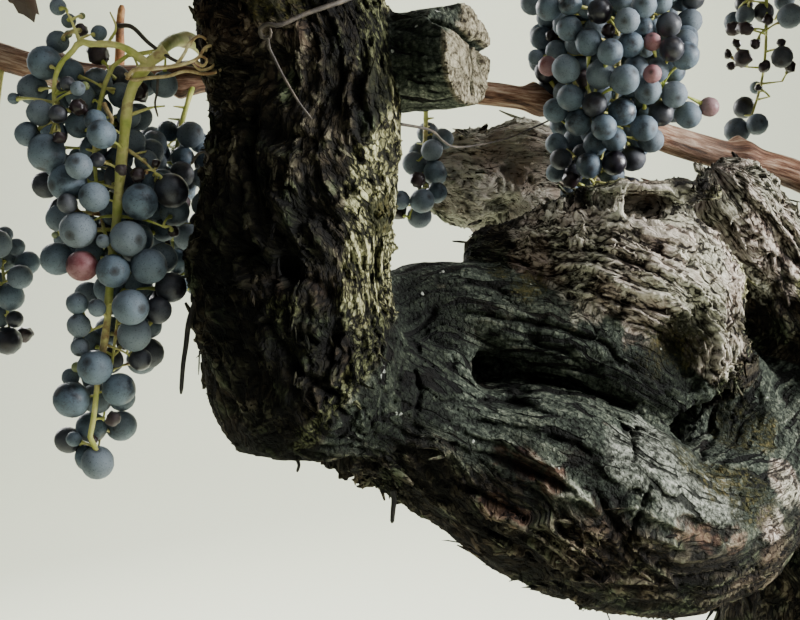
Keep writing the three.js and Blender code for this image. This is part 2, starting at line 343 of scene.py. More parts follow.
# Grooves and ridges of their own on the side that faces the viewer: half width and depth in mm, a
# ridge's depth below nothing, and the places (x, z) it runs through. They are the lens-shaped
# openings, the pale strands that sweep over them, the long cracks and the arm's ledge and fissure.
ELBOW_MARKS = [
    (0.9, 2.6, [(-248, 735), (-244, 734), (-240, 735)]),
    (1.1, 3.2, [(-245, 743), (-239, 738), (-233, 730), (-229, 722)]),
]
MARKS = {
    "lower_limb": [*ELBOW_MARKS, (2.6, 4.0, [(-206, 684), (-183, 676), (-161, 666)]),
        (2.3, 3.6, [(-211, 669), (-198, 661), (-184, 655)]),
        (1.8, -4.6, [(-216, 668), (-199, 655), (-185, 650), (-174, 653), (-166, 646), (-152, 633)]),
        (1.6, -4.2, [(-190, 651), (-177, 646), (-168, 639), (-155, 624)]),
        (1.5, -3.6, [(-187, 645), (-175, 637), (-163, 624)]),
        (1.5, -3.4, [(-166, 622), (-150, 622), (-140, 623), (-128, 621), (-110, 615)]),
        (1.5, -2.8, [(-216, 693), (-193, 688), (-175, 679), (-160, 666), (-142, 652)]),
        (1.3, -2.8, [(-179, 673), (-168, 665), (-154, 663)]),
        (1.5, -3.2, [(-143, 657), (-131, 658), (-121, 652), (-100, 642)]),
        (1.4, -3.2, [(-140, 653), (-128, 645), (-104, 636)]),
        (1.5, -3.2, [(-134, 640), (-120, 626), (-106, 612)]),
        (1.3, 3.0, [(-205, 648), (-190, 642), (-174, 628)]),
        (1.3, 3.5, [(-153, 668), (-142, 650), (-134, 634)]),
        (1.3, 3.5, [(-126, 668), (-133, 650), (-137, 636)]),
        (1.3, 3.5, [(-137, 691), (-130, 685), (-123, 688)]), (1.2, 3.0, [(-130, 685), (-134, 675)]),
        (2.6, 3.0, [(-112, 652), (-96, 644), (-80, 641)]),
        (1.2, 2.6, [(-230, 706), (-200, 702), (-164, 697)]),
        (1.1, 2.2, [(-222, 698), (-196, 694), (-160, 686), (-145, 676)]),
        (1.6, 3.8, [(-247, 727), (-241, 716), (-243, 702)]),
        (1.4, 2.8, [(-236, 722), (-231, 710), (-234, 697)])],
    "front_arm": [*ELBOW_MARKS, (2.0, 4.5, [(-286, 741), (-274, 737), (-262, 740)]),
        (3.2, -3.6, [(-272, 793), (-259, 797), (-245, 803)]), (5.0, 7.0, [(-287, 776), (-285, 759)]),
        (2.2, -3.2, [(-296, 800), (-286, 791), (-280, 775)]),
        (1.8, 3.4, [(-300, 752), (-280, 722), (-262, 712)]),
        (1.6, -3.0, [(-258, 862), (-262, 838), (-257, 818)]),
        (1.6, -3.0, [(-251, 868), (-254, 842), (-250, 824)]),
        (2.4, 4.0, [(-300, 846), (-303, 815), (-298, 784)])],
    "upper_limb": [(1.3, 3.0, [(-214, 742), (-190, 741), (-164, 736), (-140, 726), (-120, 708)]),
        (1.1, 2.4, [(-196, 728), (-178, 729), (-160, 723), (-146, 712)]),
        (1.1, 2.2, [(-226, 733), (-212, 726), (-204, 716)]),
        (1.0, 2.0, [(-222, 755), (-200, 757), (-180, 748)])],
    "burl": [(1.3, -2.2, [(-152, 799), (-134, 804), (-112, 803), (-98, 794)]),
        (1.6, 3.4, [(-172, 776), (-146, 772), (-118, 762)]),
        (1.8, -2.8, [(-176, 766), (-150, 764), (-124, 752), (-106, 752)]),
        (1.5, 3.0, [(-160, 757), (-134, 748), (-108, 742)]),
        (1.4, 3.0, [(-94, 742), (-86, 728), (-88, 712)])],
}

# Whorls, where the wood runs in rings: place (x, z), radius and spacing of the rings in mm.
WHORLS = {
    "lower_limb": [((-263, 702), 15, 4.6), ((-136, 646), 11, 4)],
    "burl": [((-86, 722), 14, 4.5)],
    "front_arm": [((-268, 701), 13, 4.6)],
    "right_arm": [((-58, 782), 16, 4.5)],
    "back_arm": [((-190, 806), 18, 5)],
}


# A strip of crumbly bark runs down the elbow's right side, and the wood is smooth beyond it: a place
# (x, z) on it in mm and the way across it.
ELBOW_STRIP = (-247, 738)
ELBOW_WAY = (0.857, -0.514)


def bark_shares(name, points, out):
    """How much of each kind of bark a place has."""
    patch = noise(points, 26 * MM, 3)
    if name == "lower_limb":
        smooth = fade(-0.2, 0.3, out[:, 2] + 0.25 * patch)
        return {"smooth": smooth, "strands": 1 - smooth}
    if name == "front_arm":
        x, z = points[:, 0] / MM, points[:, 2] / MM
        beyond_strip = ELBOW_WAY[0] * (x - ELBOW_STRIP[0]) + ELBOW_WAY[1] * (z - ELBOW_STRIP[1]) + 4 * patch
        smooth = fade(0, 6, beyond_strip) * fade(682, 692, z)
        strip = np.exp(-((beyond_strip + 4) / 5.5) ** 2) * fade(750, 735, z) * fade(684, 692, z)
        crumbly = fade(0.5, 0.95, out[:, 0] - 0.15 * out[:, 1] + 0.3 * patch)
        crumbly = np.maximum(crumbly, strip) * (1 - smooth)
        return {"crumbly": crumbly, "shaggy": (1 - crumbly) * (1 - smooth), "smooth": smooth}
    if name in ("upper_limb", "cut_spur"):
        return {"smooth": np.ones(len(points), np.float32)}
    if name in ("trunk", "rear_arm"):
        return {"shaggy": np.ones(len(points), np.float32)}
    crumbly = fade(0.35, 0.9, patch + 0.4 * out[:, 0])
    return {"crumbly": crumbly, "curly": 1 - crumbly}


def to_line(points, corners):
    """Each point's distance to a line through corners and its share of the way along it."""
    corners = single(corners) * MM
    nearest, share = np.full(len(points), 1, np.float32), np.zeros(len(points), np.float32)
    for k, (a, b) in enumerate(zip(corners[:-1], corners[1:])):
        t = np.clip(((points - a) @ (b - a)) / ((b - a) @ (b - a)), 0, 1)
        distance = np.linalg.norm(points - a - t[:, None] * (b - a), axis=1)
        closer = distance < nearest
        nearest[closer] = distance[closer]
        share[closer] = (k + t[closer]) / (len(corners) - 1)
    return nearest, share


def marks_relief(name, points, out, sway):
    """The grooves and ridges of a limb: a bell across each line, which thins out to its two ends, and
    rings round each whorl: the cosine of the distance from its middle."""
    front = fade(-0.1, 0.35, -out[:, 1])
    facing = points[:, [0, 2]] + sway
    relief = np.zeros(len(points), np.float32)
    for half, depth, corners in MARKS.get(name, []):
        distance, share = to_line(facing, corners)
        width = half * MM * (0.35 + 0.65 * np.sin(np.pi * np.clip(share, 0.02, 0.98)))
        thinned = np.minimum(1, 5 * share * (1 - share) + 0.2)
        relief -= depth * MM * np.exp(-(distance / width) ** 2) * thinned
    for middle, radius, spacing in WHORLS.get(name, []):
        distance = np.linalg.norm(facing - single(middle) * MM, axis=1)
        wavy = distance + 2.2 * MM * noise(points, 8 * MM, 9) + 1.2 * MM * noise(points, 3.5 * MM, 10)
        ring = np.cos(2 * np.pi * wavy / (spacing * MM)) * np.exp(-(distance / (radius * MM)) ** 4)
        relief += 0.9 * MM * ring
    return relief * front


def grain_place(name, height, s, c, n):
    """A point's place in the grain: its section at the limb's mean radius, turned with the spiral of
    the grain, and its distance along, all bent by slow noise so that the grain wanders. The place
    slides sideways with height, so ridges lean over their cracks."""
    girth = GRAIN[name]["girth"]
    turn = RUN[name][1] * s + LEAN * height / girth
    cosine, sine = np.cos(turn), np.sin(turn)
    q = single(np.stack([(c * cosine - n * sine) * girth, (c * sine + n * cosine) * girth, s], 1))
    seed = 30 * list(STATIONS).index(name)
    for size, wave in ((34 * MM, 13 * MM), (11 * MM, 2.6 * MM), (4.5 * MM, 0.8 * MM)):
        bend = [noise(q, (size, size, 1.4 * size), seed + k) for k in (1, 2, 3)]
        q = q + np.stack(bend, 1) * single([wave, wave, 1.5 * wave])
        seed += 3
    return q


def bark_relief(name, points, height, s, c, n, out):
    """The bark's height, its grain places, its own height without the lumps and how smooth it is.
    Ropes are 2|n| - 1, round with sharp creases; small ropes 1 - 2|n|, sharp with round valleys;
    strips and cracks are bells at a noise's zeros; plates rise slowly and drop at once, like
    shingles; crumbs are a small round noise."""
    q = grain_place(name, height, s, c, n)
    seed = 30 * list(STATIONS).index(name) + 10
    width, length = RUN[name][2:]

    def along_grain(across, along, number):
        """Noise drawn out along the grain: so many mm across it and along it."""
        return noise(q, (across * width * MM, across * width * MM, along * length * MM), seed + number)

    steps = 2.6 * along_grain(7, 34, 7) + 0.6 * along_grain(3.6, 9, 8)
    level = np.floor(steps)
    gate = fade(-0.2, 0.4, along_grain(12, 40, 14))
    broken = 0.75 + 0.5 * noise(points, 8 * MM, seed + 18)
    shape = {
        "rope": 2 * np.abs(along_grain(8, 52, 4)) - 1,
        "small": broken * (1 - 2 * np.abs(along_grain(4.2, 26, 5))),
        "strip": gate * np.exp(-(along_grain(5, 55, 15) / 0.22) ** 2),
        "crack": -np.exp(-(along_grain(11, 62, 6) / 0.11) ** 2),
        "plate": (steps - level) ** 1.5 + 0.3 * level,
        "fibre": along_grain(2.6, 24, 9),
        "fray": broken * (1 - 2 * np.abs(noise(q, (2.9 * MM, 2.9 * MM, 6.5 * MM), seed + 19))),
        "crumb": 1.4 * np.abs(noise(points, 5 * MM, seed + 10)) + 0.6 * noise(points, 2.5 * MM, seed + 11),
        "lump": noise(points, 34 * MM, seed + 12) + 0.4 * noise(points, 15 * MM, seed + 13),
    }
    shares = bark_shares(name, points, out)
    depth = {key: sum(share * BARKS[kind][number] for kind, share in shares.items()) * MM
             for number, key in enumerate(BARK_SHAPES)}
    fine = sum(depth[key] * shape[key] for key in shape if key != "lump")
    if name in MARKS or name in WHORLS:
        sway = np.stack([noise(points, 9 * MM, seed + 16), noise(points, 9 * MM, seed + 17)], 1) * 1.6 * MM
        fine += marks_relief(name, points, out, sway)
    smooth = shares.get("smooth", np.zeros(len(points), np.float32))
    crumbly = shares.get("crumbly", np.zeros(len(points), np.float32))
    return fine + depth["lump"] * shape["lump"], q, fine, smooth, crumbly


def heights_of(points, names):
    """For each limb its height off the round surface, and the one melted height of all of them."""
    own = {name: around(LIMBS[name], points)[0] for name in names}
    whole = None
    for name in names:
        whole = own[name] if whole is None else melt(whole, own[name], RUN[name][0] * MM)
    for middle, half in SWELLS:
        whole = melt(whole, egg(points, middle, half), 8 * MM)
    for middle, half in HOLLOWS:
        whole = -melt(-whole, egg(points, middle, half), 3 * MM)
    return own, whole


def bark_at(points, names):
    """The bark of all the limbs at these points: the relief melts from limb to limb, and the grain
    places, bark height, smoothness and crumbliness are the nearest limb's."""
    own = {name: around(GRAIN[name], points) for name in names}
    stack = np.stack([own[name][0] for name in names])
    shares = np.exp(-(stack - stack.min(0)) / (4 * MM))
    shares /= shares.sum(0)
    shares[shares < 0.04] = 0
    shares /= shares.sum(0)
    first = shares.argmax(0)
    relief = np.zeros(len(points), np.float32)
    grain, looks = np.zeros((len(points), 3), np.float32), np.zeros((len(points), 3), np.float32)
    for k, name in enumerate(names):
        held = shares[k] > 0
        if held.any():
            here = [value[held] for value in own[name]]
            whole, q, fine, smooth, crumbly = bark_relief(name, points[held], *here)
            relief[held] += shares[k][held] * whole
            mine = first[held] == k
            grain[first == k] = q[mine]
            looks[first == k] = np.stack([fine, smooth, crumbly], 1)[mine]
    return relief, grain, looks


def surface_of(field, low, step):
    """Surface nets: each cell that the surface passes through gets one point, the mean of where it
    crosses the cell's edges, and each crossed edge joins the four cells round it with a quad."""
    inside = field < 0
    corners = list(np.ndindex(2, 2, 2))
    count = sum(inside[tuple(slice(k, k - 1 or None) for k in a)].astype(np.uint8) for a in corners)
    cells = np.argwhere((count > 0) & (count < 8))
    corner = {a: field[tuple((cells + a).T)] for a in corners}
    total, crossings = np.zeros((len(cells), 3)), np.zeros(len(cells))
    for axis in range(3):
        for a in corner:
            if a[axis]:
                continue
            b = tuple(1 if k == axis else a[k] for k in range(3))
            crossed = (corner[a] < 0) != (corner[b] < 0)
            share = np.where(crossed, corner[a] / np.where(crossed, corner[a] - corner[b], 1), 0)
            place = np.repeat(np.array(a, float)[None], len(cells), 0)
            place[:, axis] += share
            total += place * crossed[:, None]
            crossings += crossed
    points = low + step * (cells + total / crossings[:, None])
    number = np.full(count.shape, -1, np.int32)
    number[tuple(cells.T)] = np.arange(len(cells))
    quads = []
    for axis in range(3):
        one, two = (axis + 1) % 3, (axis + 2) % 3
        edges = np.argwhere(np.diff(inside, axis=axis))
        inner = [(edges[:, k] > 0) & (edges[:, k] < count.shape[k]) for k in (one, two)]
        edges = edges[inner[0] & inner[1]]
        back = np.zeros((4, 3), int)
        back[:, [one, two]] = (1, 1), (0, 1), (0, 0), (1, 0)
        ring = np.stack([number[tuple((edges - step_back).T)] for step_back in back], 1)
        leaving = inside[tuple(edges.T)]
        quads.append(np.where(leaving[:, None], ring, ring[:, ::-1]))
    return single(points), np.vstack(quads)


def largest_part(points, faces):
    """Keeps the largest joined part: every point takes the lowest number among its neighbours until
    nothing changes."""
    label = np.arange(len(points))
    a, b = faces[:, [0, 1, 2, 3]].ravel(), faces[:, [1, 2, 3, 0]].ravel()
    while True:
        before = label.copy()
        low = np.minimum(label[a], label[b])
        np.minimum.at(label, a, low)
        np.minimum.at(label, b, low)
        label = label[label]
        if (label == before).all():
            break
    values, counts = np.unique(label, return_counts=True)
    kept = label == values[counts.argmax()]
    number = np.cumsum(kept) - 1
    return points[kept], number[faces[kept[faces[:, 0]]]]


# The spur's sawn end: a flat cut across its grain, with rings, rays and drying cracks that start at
# its rim. Each crack has its half width, its depth and the places it runs through, across and up.
SAWN_PLACE = single([-209, -111, 862]) * MM
SAWN_WAY = single([0.861, -0.505, 0.059])
SAWN_UP = single([-0.05, 0.03, 0.998])
SAWN_CRACKS = [(1.5, 9, [(-13, 14), (-2, 8), (9, 6), (23, 3)]), (1.0, 5, [(4, 6), (6, -6), (3, -16)]),
               (0.9, 4, [(10, 6), (13, -4), (12, -13)]), (6.5, 11, [(-16, 17), (-10, 22)])]


def sawn_height(points):
    """The height off the sawn end and its place there: rings are cosines of the distance from the
    heart, rays a noise of the angle, cracks bells across their lines."""
    offset = points - SAWN_PLACE
    across = np.cross(SAWN_UP, SAWN_WAY)
    a, b = offset @ across / MM, offset @ SAWN_UP / MM
    radius, turn = np.hypot(a, b), np.arctan2(b, a)
    spread = single(np.stack([np.cos(turn) * 8, np.sin(turn) * 8, radius / 9], 1))
    relief = 0.16 * np.cos(radius * 3.4 + 1.5 * noise(spread, 3, 61)) + 0.7 * noise(spread, 0.9, 62)
    relief += 0.9 * noise(points, 9 * MM, 63) + 0.4 * noise(points, 2.4 * MM, 64)
    flat = np.stack([a + 1.2 * noise(points, 5 * MM, 65), b + 1.2 * noise(points, 5 * MM, 66)], 1) * MM
    for half, depth, corners in SAWN_CRACKS:
        relief -= depth * np.exp(-(to_line(flat, corners)[0] / (half * MM)) ** 2)
    return offset @ SAWN_WAY - relief * MM


# The wood is worked out in cells, so many mm wide: small where the view is close. Bark stands off the
# smooth wood by BAND at most, and a piece runs OVERLAP into its neighbour and sinks there by SINK of it.
STEPS = {
    "cut_spur": 1.0, "trunk": 3.2, "rear_arm": 2.5, "back_arm": 1.65, "right_arm": 1.5,
    "front_arm_high": 1.7, "front_arm_low": 1.07, "front_arm_middle": 1.07, "burl": 1.18,
}
FINE_STEP = 1.27
CELLS_PER_BLOCK = 4
BAND = 10 * MM
OVERLAP = 3 * MM
SINK = 0.25

# The two longest limbs are made as more than one piece, divided across: the axis, and where each
# piece starts and ends along it in mm.
DIVIDED = {"front_arm": (2, {"_low": (-math.inf, 760), "_middle": (760, 888), "_high": (888, math.inf)}),
           "lower_limb": (0, {"_low": (-math.inf, -158), "_high": (-158, math.inf)})}
WHOLE = (0, {"": (-math.inf, math.inf)})
WOOD_PIECES = [(name + end, name, DIVIDED.get(name, WHOLE)[0], span) for name in STATIONS
               for end, span in DIVIDED.get(name, WHOLE)[1].items()]


def stretched(values, count):
    """Values at every CELLS_PER_BLOCK-th place, drawn out to count places on each axis by straight
    lines."""
    for axis in range(3):
        place = np.arange(count[axis]) / CELLS_PER_BLOCK
        low = np.minimum(place.astype(int), values.shape[axis] - 2)
        share = single(place - low).reshape([-1 if k == axis else 1 for k in range(3)])
        values = values.take(low, axis) * (1 - share) + values.take(low + 1, axis) * share
    return values


def reaches(name, low, high):
    """Whether any of a limb's sections comes into a box."""
    line, radius = GRAIN[name]["line"], GRAIN[name]["radius"][:, None]
    return ((line + radius > low) & (line - radius < high)).all(1).any()


def carve(job):
    """One piece of the old wood, as points and faces, with its looks. It sinks just under its
    neighbour's surface where that one is nearer, so the two show as one skin."""
    label, name, axis, (start, end) = job
    step = STEPS.get(label, STEPS.get(name, FINE_STEP))
    step = step * MM
    near, far = (np.array(corner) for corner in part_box(name))
    near[axis], far[axis] = max(near[axis], start * MM), min(far[axis], end * MM)
    low = np.floor((near - BAND) / step) * step
    high = far + BAND
    names = [n for n in STATIONS if reaches(n, low, high)]
    count = np.ceil((high - low) / step / CELLS_PER_BLOCK).astype(int) * CELLS_PER_BLOCK + 1
    ticks = [low[k] + step * np.arange(0, count[k], CELLS_PER_BLOCK) for k in range(3)]
    coarse = single(np.stack(np.meshgrid(*ticks, indexing="ij"), -1).reshape(-1, 3))
    own, whole = heights_of(coarse, names)
    shape = tuple((count - 1) // CELLS_PER_BLOCK + 1)
    others = [own[n] for n in names if n != name]
    beyond = own[name] - np.min(others, axis=0) if others else np.full(len(coarse), -1, np.float32)
    beyond = np.maximum.reduce([beyond, start * MM - coarse[:, axis], coarse[:, axis] - end * MM])
    beyond = stretched(beyond.reshape(shape), count)
    field = stretched(whole.reshape(shape), count)
    shown = (np.abs(field) < BAND) & (beyond < OVERLAP + 2 * step)
    field[shown] -= bark_at(single(low + step * np.argwhere(shown)), names)[0]
    field = np.maximum(field + SINK * np.maximum(beyond, 0), beyond - OVERLAP)
    if name == "trunk":
        field = np.maximum(field, -single(low[2] + step * np.arange(count[2])))
    if name == "cut_spur":
        every = single(low + step * np.argwhere(np.ones(field.shape, bool)))
        field = np.maximum(field, sawn_height(every).reshape(field.shape))
    field[[0, -1]] = step
    field[:, [0, -1]] = step
    field[:, :, [0, -1]] = step
    points, faces = largest_part(*surface_of(field, low, step))
    return (points, faces, *bark_at(points, names)[1:])


# Spots of colour: middle (x, y, z) and reach in mm. Moss sits on top of the lower limb and in the
# pockets, lichen crumbs on the arm's lit side, the burl and the heads are weathered pale, and bare
# wood shows red in the openings. The last spots are painted shade: dark where the wood lies in shade.
SPOTS = {
    "moss": [(-290, -138, 884, 13), (-250, -134, 846, 10), (-104, -96, 674, 9), (-71, -96, 654, 14),
        (-88, -96, 664, 11), (-176, -84, 756, 9), (-106, -73, 728, 15), (-63, -58, 679, 14),
        (-120, -80, 716, 9), (-192, -76, 760, 6), (-248, -130, 790, 9), (-281, -150, 735, 6)],
    "lichen": [(-256, -143, 723, 5), (-264, -148, 714, 5), (-271, -150, 706, 4.5), (-279, -150, 697, 4),
        (-87, -66, 686, 9), (-251, -134, 812, 13), (-258, -142, 798, 8), (-248, -130, 772, 15),
        (-250, -128, 752, 12), (-290, -156, 752, 6), (-132, -116, 678, 13), (-108, -108, 666, 18),
        (-118, -100, 686, 12), (-90, -108, 654, 15)],
    "bare": [(-172, 30, 828, 17), (-182, 28, 806, 15), (-165, 40, 812, 46), (-199, 45, 837, 30),
        (-120, -88, 776, 30), (-58, -30, 785, 34), (-88, -80, 762, 20), (-84, -82, 724, 14),
        (-162, -77, 777, 20), (-60, -34, 786, 20), (-72, -24, 800, 18), (-144, -87, 759, 18),
        (-110, -87, 747, 20), (-47, -79, 656, 10), (-60, -96, 641, 8)],
    "red": [(-183, -128, 678, 6.5), (-196, -126, 683, 5), (-170, -129, 671, 5.5), (-197, -127, 658, 6),
        (-186, -128, 653, 5), (-110, -116, 646, 6), (-97, -114, 640, 6), (-82, -108, 637, 6),
        (-176, -72, 770, 9), (-162, -74, 762, 7), (-140, -82, 756, 8), (-119, -60, 796, 12),
        (-110, -80, 752, 7), (-150, 38, 800, 8), (-166, 26, 812, 9), (-188, 30, 822, 8), (-160, 30, 832, 8)],
    "damp": [(-246, -134, 716, 18), (-249, -134, 728, 16), (-253, -142, 713, 9), (-240, -131, 704, 18),
        (-232, -118, 722, 20), (-226, -96, 742, 18), (-252, -132, 872, 24), (-256, -136, 846, 16),
        (-300, -140, 780, 26), (-290, -150, 740, 26), (-283, -150, 699, 20), (-116, -84, 712, 14)],
}


def spots_at(points, kind):
    """How much of a kind of spot a place has: domes round the spots, broken up by noise."""
    total = np.zeros(len(points), np.float32)
    for x, y, z, reach in SPOTS[kind]:
        square = ((points - single([x, y, z]) * MM) ** 2).sum(1) / (reach * MM) ** 2
        total = np.maximum(total, 1.25 - 0.5 * square)
    rough = 0.35 * noise(points, 7 * MM, 5) + 0.25 * noise(points, 3 * MM, 6)
    return fade(0.35, 0.75, total + rough)


# The plant's skins are made of Blender's shader nodes, which these few helpers place, link and reckon
# with, so that a tone is written as a sum of relief, fibres, scales and specks.
class Output:
    """An output of a shader node. Adding, taking away, multiplying and dividing it put one of Blender's
    Math nodes, with no clamp, after it."""

    def __init__(self, socket):
        self.socket = socket

    def __add__(self, other):
        return worked("ADD", self, other)

    def __sub__(self, other):
        return worked("SUBTRACT", self, other)

    def __rsub__(self, other):
        return worked("SUBTRACT", other, self)

    def __mul__(self, other):
        return worked("MULTIPLY", self, other)

    def __rtruediv__(self, other):
        return worked("DIVIDE", other, self)

    def __abs__(self):
        return worked("ABSOLUTE", self)


def feed(socket, value):
    """Links an output to an input socket, or sets the socket to a number, a vector or a colour."""
    if isinstance(value, Output):
        socket.id_data.links.new(value.socket, socket)
    elif isinstance(value, tuple) and len(value) < len(socket.default_value):
        socket.default_value = (*value, 1)
    else:
        socket.default_value = value


def outputs(tree, kind, sockets=(), **settings):
    """Adds a shader node: its settings, then what feeds each input socket. Gives its outputs by name."""
    made = tree.nodes.new(kind)
    for key, value in settings.items():
        setattr(made, key, value)
    for key, value in dict(sockets).items():
        feed(made.inputs[key], value)
    return {socket.identifier: Output(socket) for socket in made.outputs}


def node(tree, kind, sockets=(), take=0, **settings):
    """Adds a shader node and gives its output of that number."""
    return list(outputs(tree, kind, sockets, **settings).values())[take]


def tree_of(*values):
    """The node tree of the first output among these values."""
    return next(value.socket.id_data for value in values if isinstance(value, Output))


def worked(operation, *values):
    """One of Blender's Math operations on numbers or outputs."""
    return node(tree_of(*values), "ShaderNodeMath", dict(enumerate(values)), operation=operation)


def mixed(share, one, two, blend="MIX"):
    """A colour that goes from one to two by share."""
    sockets = {0: share, 6: one, 7: two}
    return node(tree_of(share, one, two), "ShaderNodeMix", sockets, 2, data_type="RGBA", blend_type=blend)


def ramp(value, *stops):
    """A colour ramp through stops, each a place and its red, green and blue."""
    made = value.socket.id_data.nodes.new("ShaderNodeValToRGB")
    feed(made.inputs["Fac"], value)
    elements = made.color_ramp.elements
    while len(elements) < len(stops):
        elements.new(0.5)
    for element, (place, *colour) in zip(elements, stops):
        element.position = place
        element.color = (*colour, 1)
    return Output(made.outputs["Color"])


def mask(value, start, end, low=0, high=1):
    """A share that is low up to start and high from end."""
    return ramp(value, (start, low, low, low), (end, high, high, high))


def stepped(value, start, end):
    """0 up to start, 1 from end, and a smooth step between."""
    sockets = {"Value": value, "From Min": start, "From Max": end}
    return node(value.socket.id_data, "ShaderNodeMapRange", sockets, interpolation_type="SMOOTHSTEP")


def attribute(tree, name, take=2):
    """One of the mesh's own attributes: by its number of output a colour, a vector or a share."""
    return node(tree, "ShaderNodeAttribute", take=take, attribute_name=name)


def noise_node(vector, scale, detail=4.0, roughness=0.6):
    """A noise texture's value."""
    sockets = {"Vector": vector, "Scale": scale, "Detail": detail, "Roughness": roughness}
    return node(vector.socket.id_data, "ShaderNodeTexNoise", sockets)


def vector_node(operation, one, two=(0, 0, 0), take=0):
    """One of Blender's Vector Math operations."""
    return node(one.socket.id_data, "ShaderNodeVectorMath", {0: one, 1: two}, take, operation=operation)


def new_group(name, inputs, results):
    """A shader node group: its inputs, where one with no value is a vector, and results. Gives the
    group, its inputs as outputs to build on, and the sockets that its results feed."""
    made = bpy.data.node_groups.new(name, "ShaderNodeTree")
    for label, value in inputs.items():
        kind = "NodeSocketVector" if value is None else "NodeSocketFloat"
        socket = made.interface.new_socket(label, in_out="INPUT", socket_type=kind)
        if value is not None:
            socket.default_value = value
    for label in results:
        made.interface.new_socket(label, in_out="OUTPUT", socket_type="NodeSocketFloat")
    entry = made.nodes.new("NodeGroupInput").outputs
    return made, {label: Output(entry[label]) for label in inputs}, made.nodes.new("NodeGroupOutput").inputs


def grouped(tree, group, **inputs):
    """Places a node group in a tree with its inputs, and gives its outputs by name."""
    made = tree.nodes.new("ShaderNodeGroup")
    made.node_tree = group
    for label, value in inputs.items():
        feed(made.inputs[label], value)
    return {socket.name: Output(socket) for socket in made.outputs}


# Fibres: thin lines along the grain, for bark, sawn wood and canes. The grain comes in mm.
ALONG_GRAIN = (1, 1, 0.1)
fibres, entry, leaving = new_group("fibres", {"Grain": None, "Width": 1}, ("Height", "Streak"))
drawn_out = vector_node("MULTIPLY", entry["Grain"], ALONG_GRAIN)
thin = noise_node(drawn_out, 1.1 / entry["Width"], 5, 0.65)
broad = noise_node(drawn_out, 0.3 / entry["Width"], 3, 0.55)
feed(leaving["Height"], thin + broad * 0.6)
feed(leaving["Streak"], broad)

# Flakes: scales of bark drawn out along the grain, each with a tone of its own and a dark gap round it.
WANDER = (1.1, 1.1, 1.1)
flakes, entry, leaving = new_group("flakes", {"Grain": None, "Width": 2, "Length": 7},
                                   ("Height", "Tone", "Gap", "Edge"))
cell = node(flakes, "ShaderNodeCombineXYZ", {0: entry["Width"], 1: entry["Width"], 2: entry["Length"]})
drawn_out = vector_node("DIVIDE", entry["Grain"], cell)
wander = node(flakes, "ShaderNodeTexNoise", {"Vector": drawn_out, "Scale": 0.9, "Detail": 3.0}, 1)
bent = vector_node("ADD", drawn_out, vector_node("MULTIPLY", wander, WANDER))
scales = outputs(flakes, "ShaderNodeTexVoronoi", {"Vector": bent, "Scale": 1.0})
tone = node(flakes, "ShaderNodeSeparateXYZ", {0: scales["Color"]})
gap = stepped(scales["Distance"], 0.48, 0.8)
height = tone * 0.8 - gap
for label, value in {"Tone": tone, "Gap": gap, "Edge": scales["Distance"], "Height": height}.items():
    feed(leaving[label], value)


def new_skin(name, roughness, specular=0.5):
    """A material, its node tree, its Principled shader and the place on the plant in metres."""
    material, tree, shader = surface(name, roughness)
    shader.inputs["Specular IOR Level"].default_value = specular
    return material, tree, shader, node(tree, "ShaderNodeTexCoord", take=3)


def finish(shader, colour, height, distance, strength=1.0):
    """Feeds a colour, and a bump as high as height times distance in metres, into the shader."""
    feed(shader.inputs["Base Color"], colour)
    sockets = {"Height": height, "Distance": distance, "Strength": strength}
    feed(shader.inputs["Normal"], node(shader.id_data, "ShaderNodeBump", sockets))


# The bark's colours, dark in its cracks and paler on its ridges, the dark partly painted shade: place on the
# ramp, red, green, blue.
BARK_TONES = {
    "shaggy": ((0.2, 0.003, 0.0025, 0.0017), (0.45, 0.0086, 0.0068, 0.0043), (0.65, 0.019, 0.0152, 0.0094),
               (0.85, 0.04, 0.034, 0.0215), (1.0, 0.1, 0.089, 0.058)),
    "greenish": ((0.2, 0.002, 0.0026, 0.0014), (0.6, 0.015, 0.0205, 0.0105), (1.0, 0.11, 0.135, 0.075)),
    "plain": ((0.25, 0.0025, 0.003, 0.002), (0.45, 0.012, 0.0155, 0.011), (0.62, 0.034, 0.042, 0.031),
              (0.82, 0.1, 0.112, 0.082), (1.0, 0.27, 0.28, 0.22)),
    "rusty": ((0.2, 0.008, 0.004, 0.003), (0.6, 0.045, 0.024, 0.014), (1.0, 0.2, 0.13, 0.085)),
    "pale": ((0.25, 0.006, 0.006, 0.003), (0.5, 0.045, 0.045, 0.02), (0.72, 0.165, 0.16, 0.075),
             (1.0, 0.4, 0.39, 0.22)),
    "grey": ((0.25, 0.02, 0.022, 0.017), (0.46, 0.08, 0.085, 0.068), (0.66, 0.19, 0.2, 0.165),
             (0.95, 0.42, 0.43, 0.37)),
    "beige": ((0.16, 0.016, 0.014, 0.01), (0.4, 0.12, 0.112, 0.082), (0.6, 0.32, 0.305, 0.225),
              (0.9, 0.6, 0.58, 0.46)),
    "pinkish": ((0.16, 0.016, 0.011, 0.009), (0.4, 0.12, 0.09, 0.07), (0.6, 0.3, 0.245, 0.195),
                (0.9, 0.55, 0.48, 0.41)),
    "red": ((0.15, 0.012, 0.005, 0.003), (0.5, 0.07, 0.032, 0.02), (0.9, 0.25, 0.15, 0.1)),
    "moss": ((0.28, 0.006, 0.008, 0.002), (0.5, 0.014, 0.015, 0.005), (0.68, 0.036, 0.034, 0.01),
             (0.88, 0.085, 0.066, 0.022)),
    "sawn": ((0.45, 0.045, 0.038, 0.025), (0.6, 0.14, 0.122, 0.082), (0.8, 0.32, 0.29, 0.205)),
    "stain": ((0.56, 0.25, 0.23, 0.2), (0.72, 1, 1, 1)),
}
# The tint that darkens the bark where shade is painted, and the colour of the lichen dots.
PAINTED_SHADE_TINT, DOTS = (0.27, 0.295, 0.26), (0.42, 0.44, 0.38)


def toned(value, name):
    """The bark's colour of that name at a tone."""
    return ramp(value, *BARK_TONES[name])
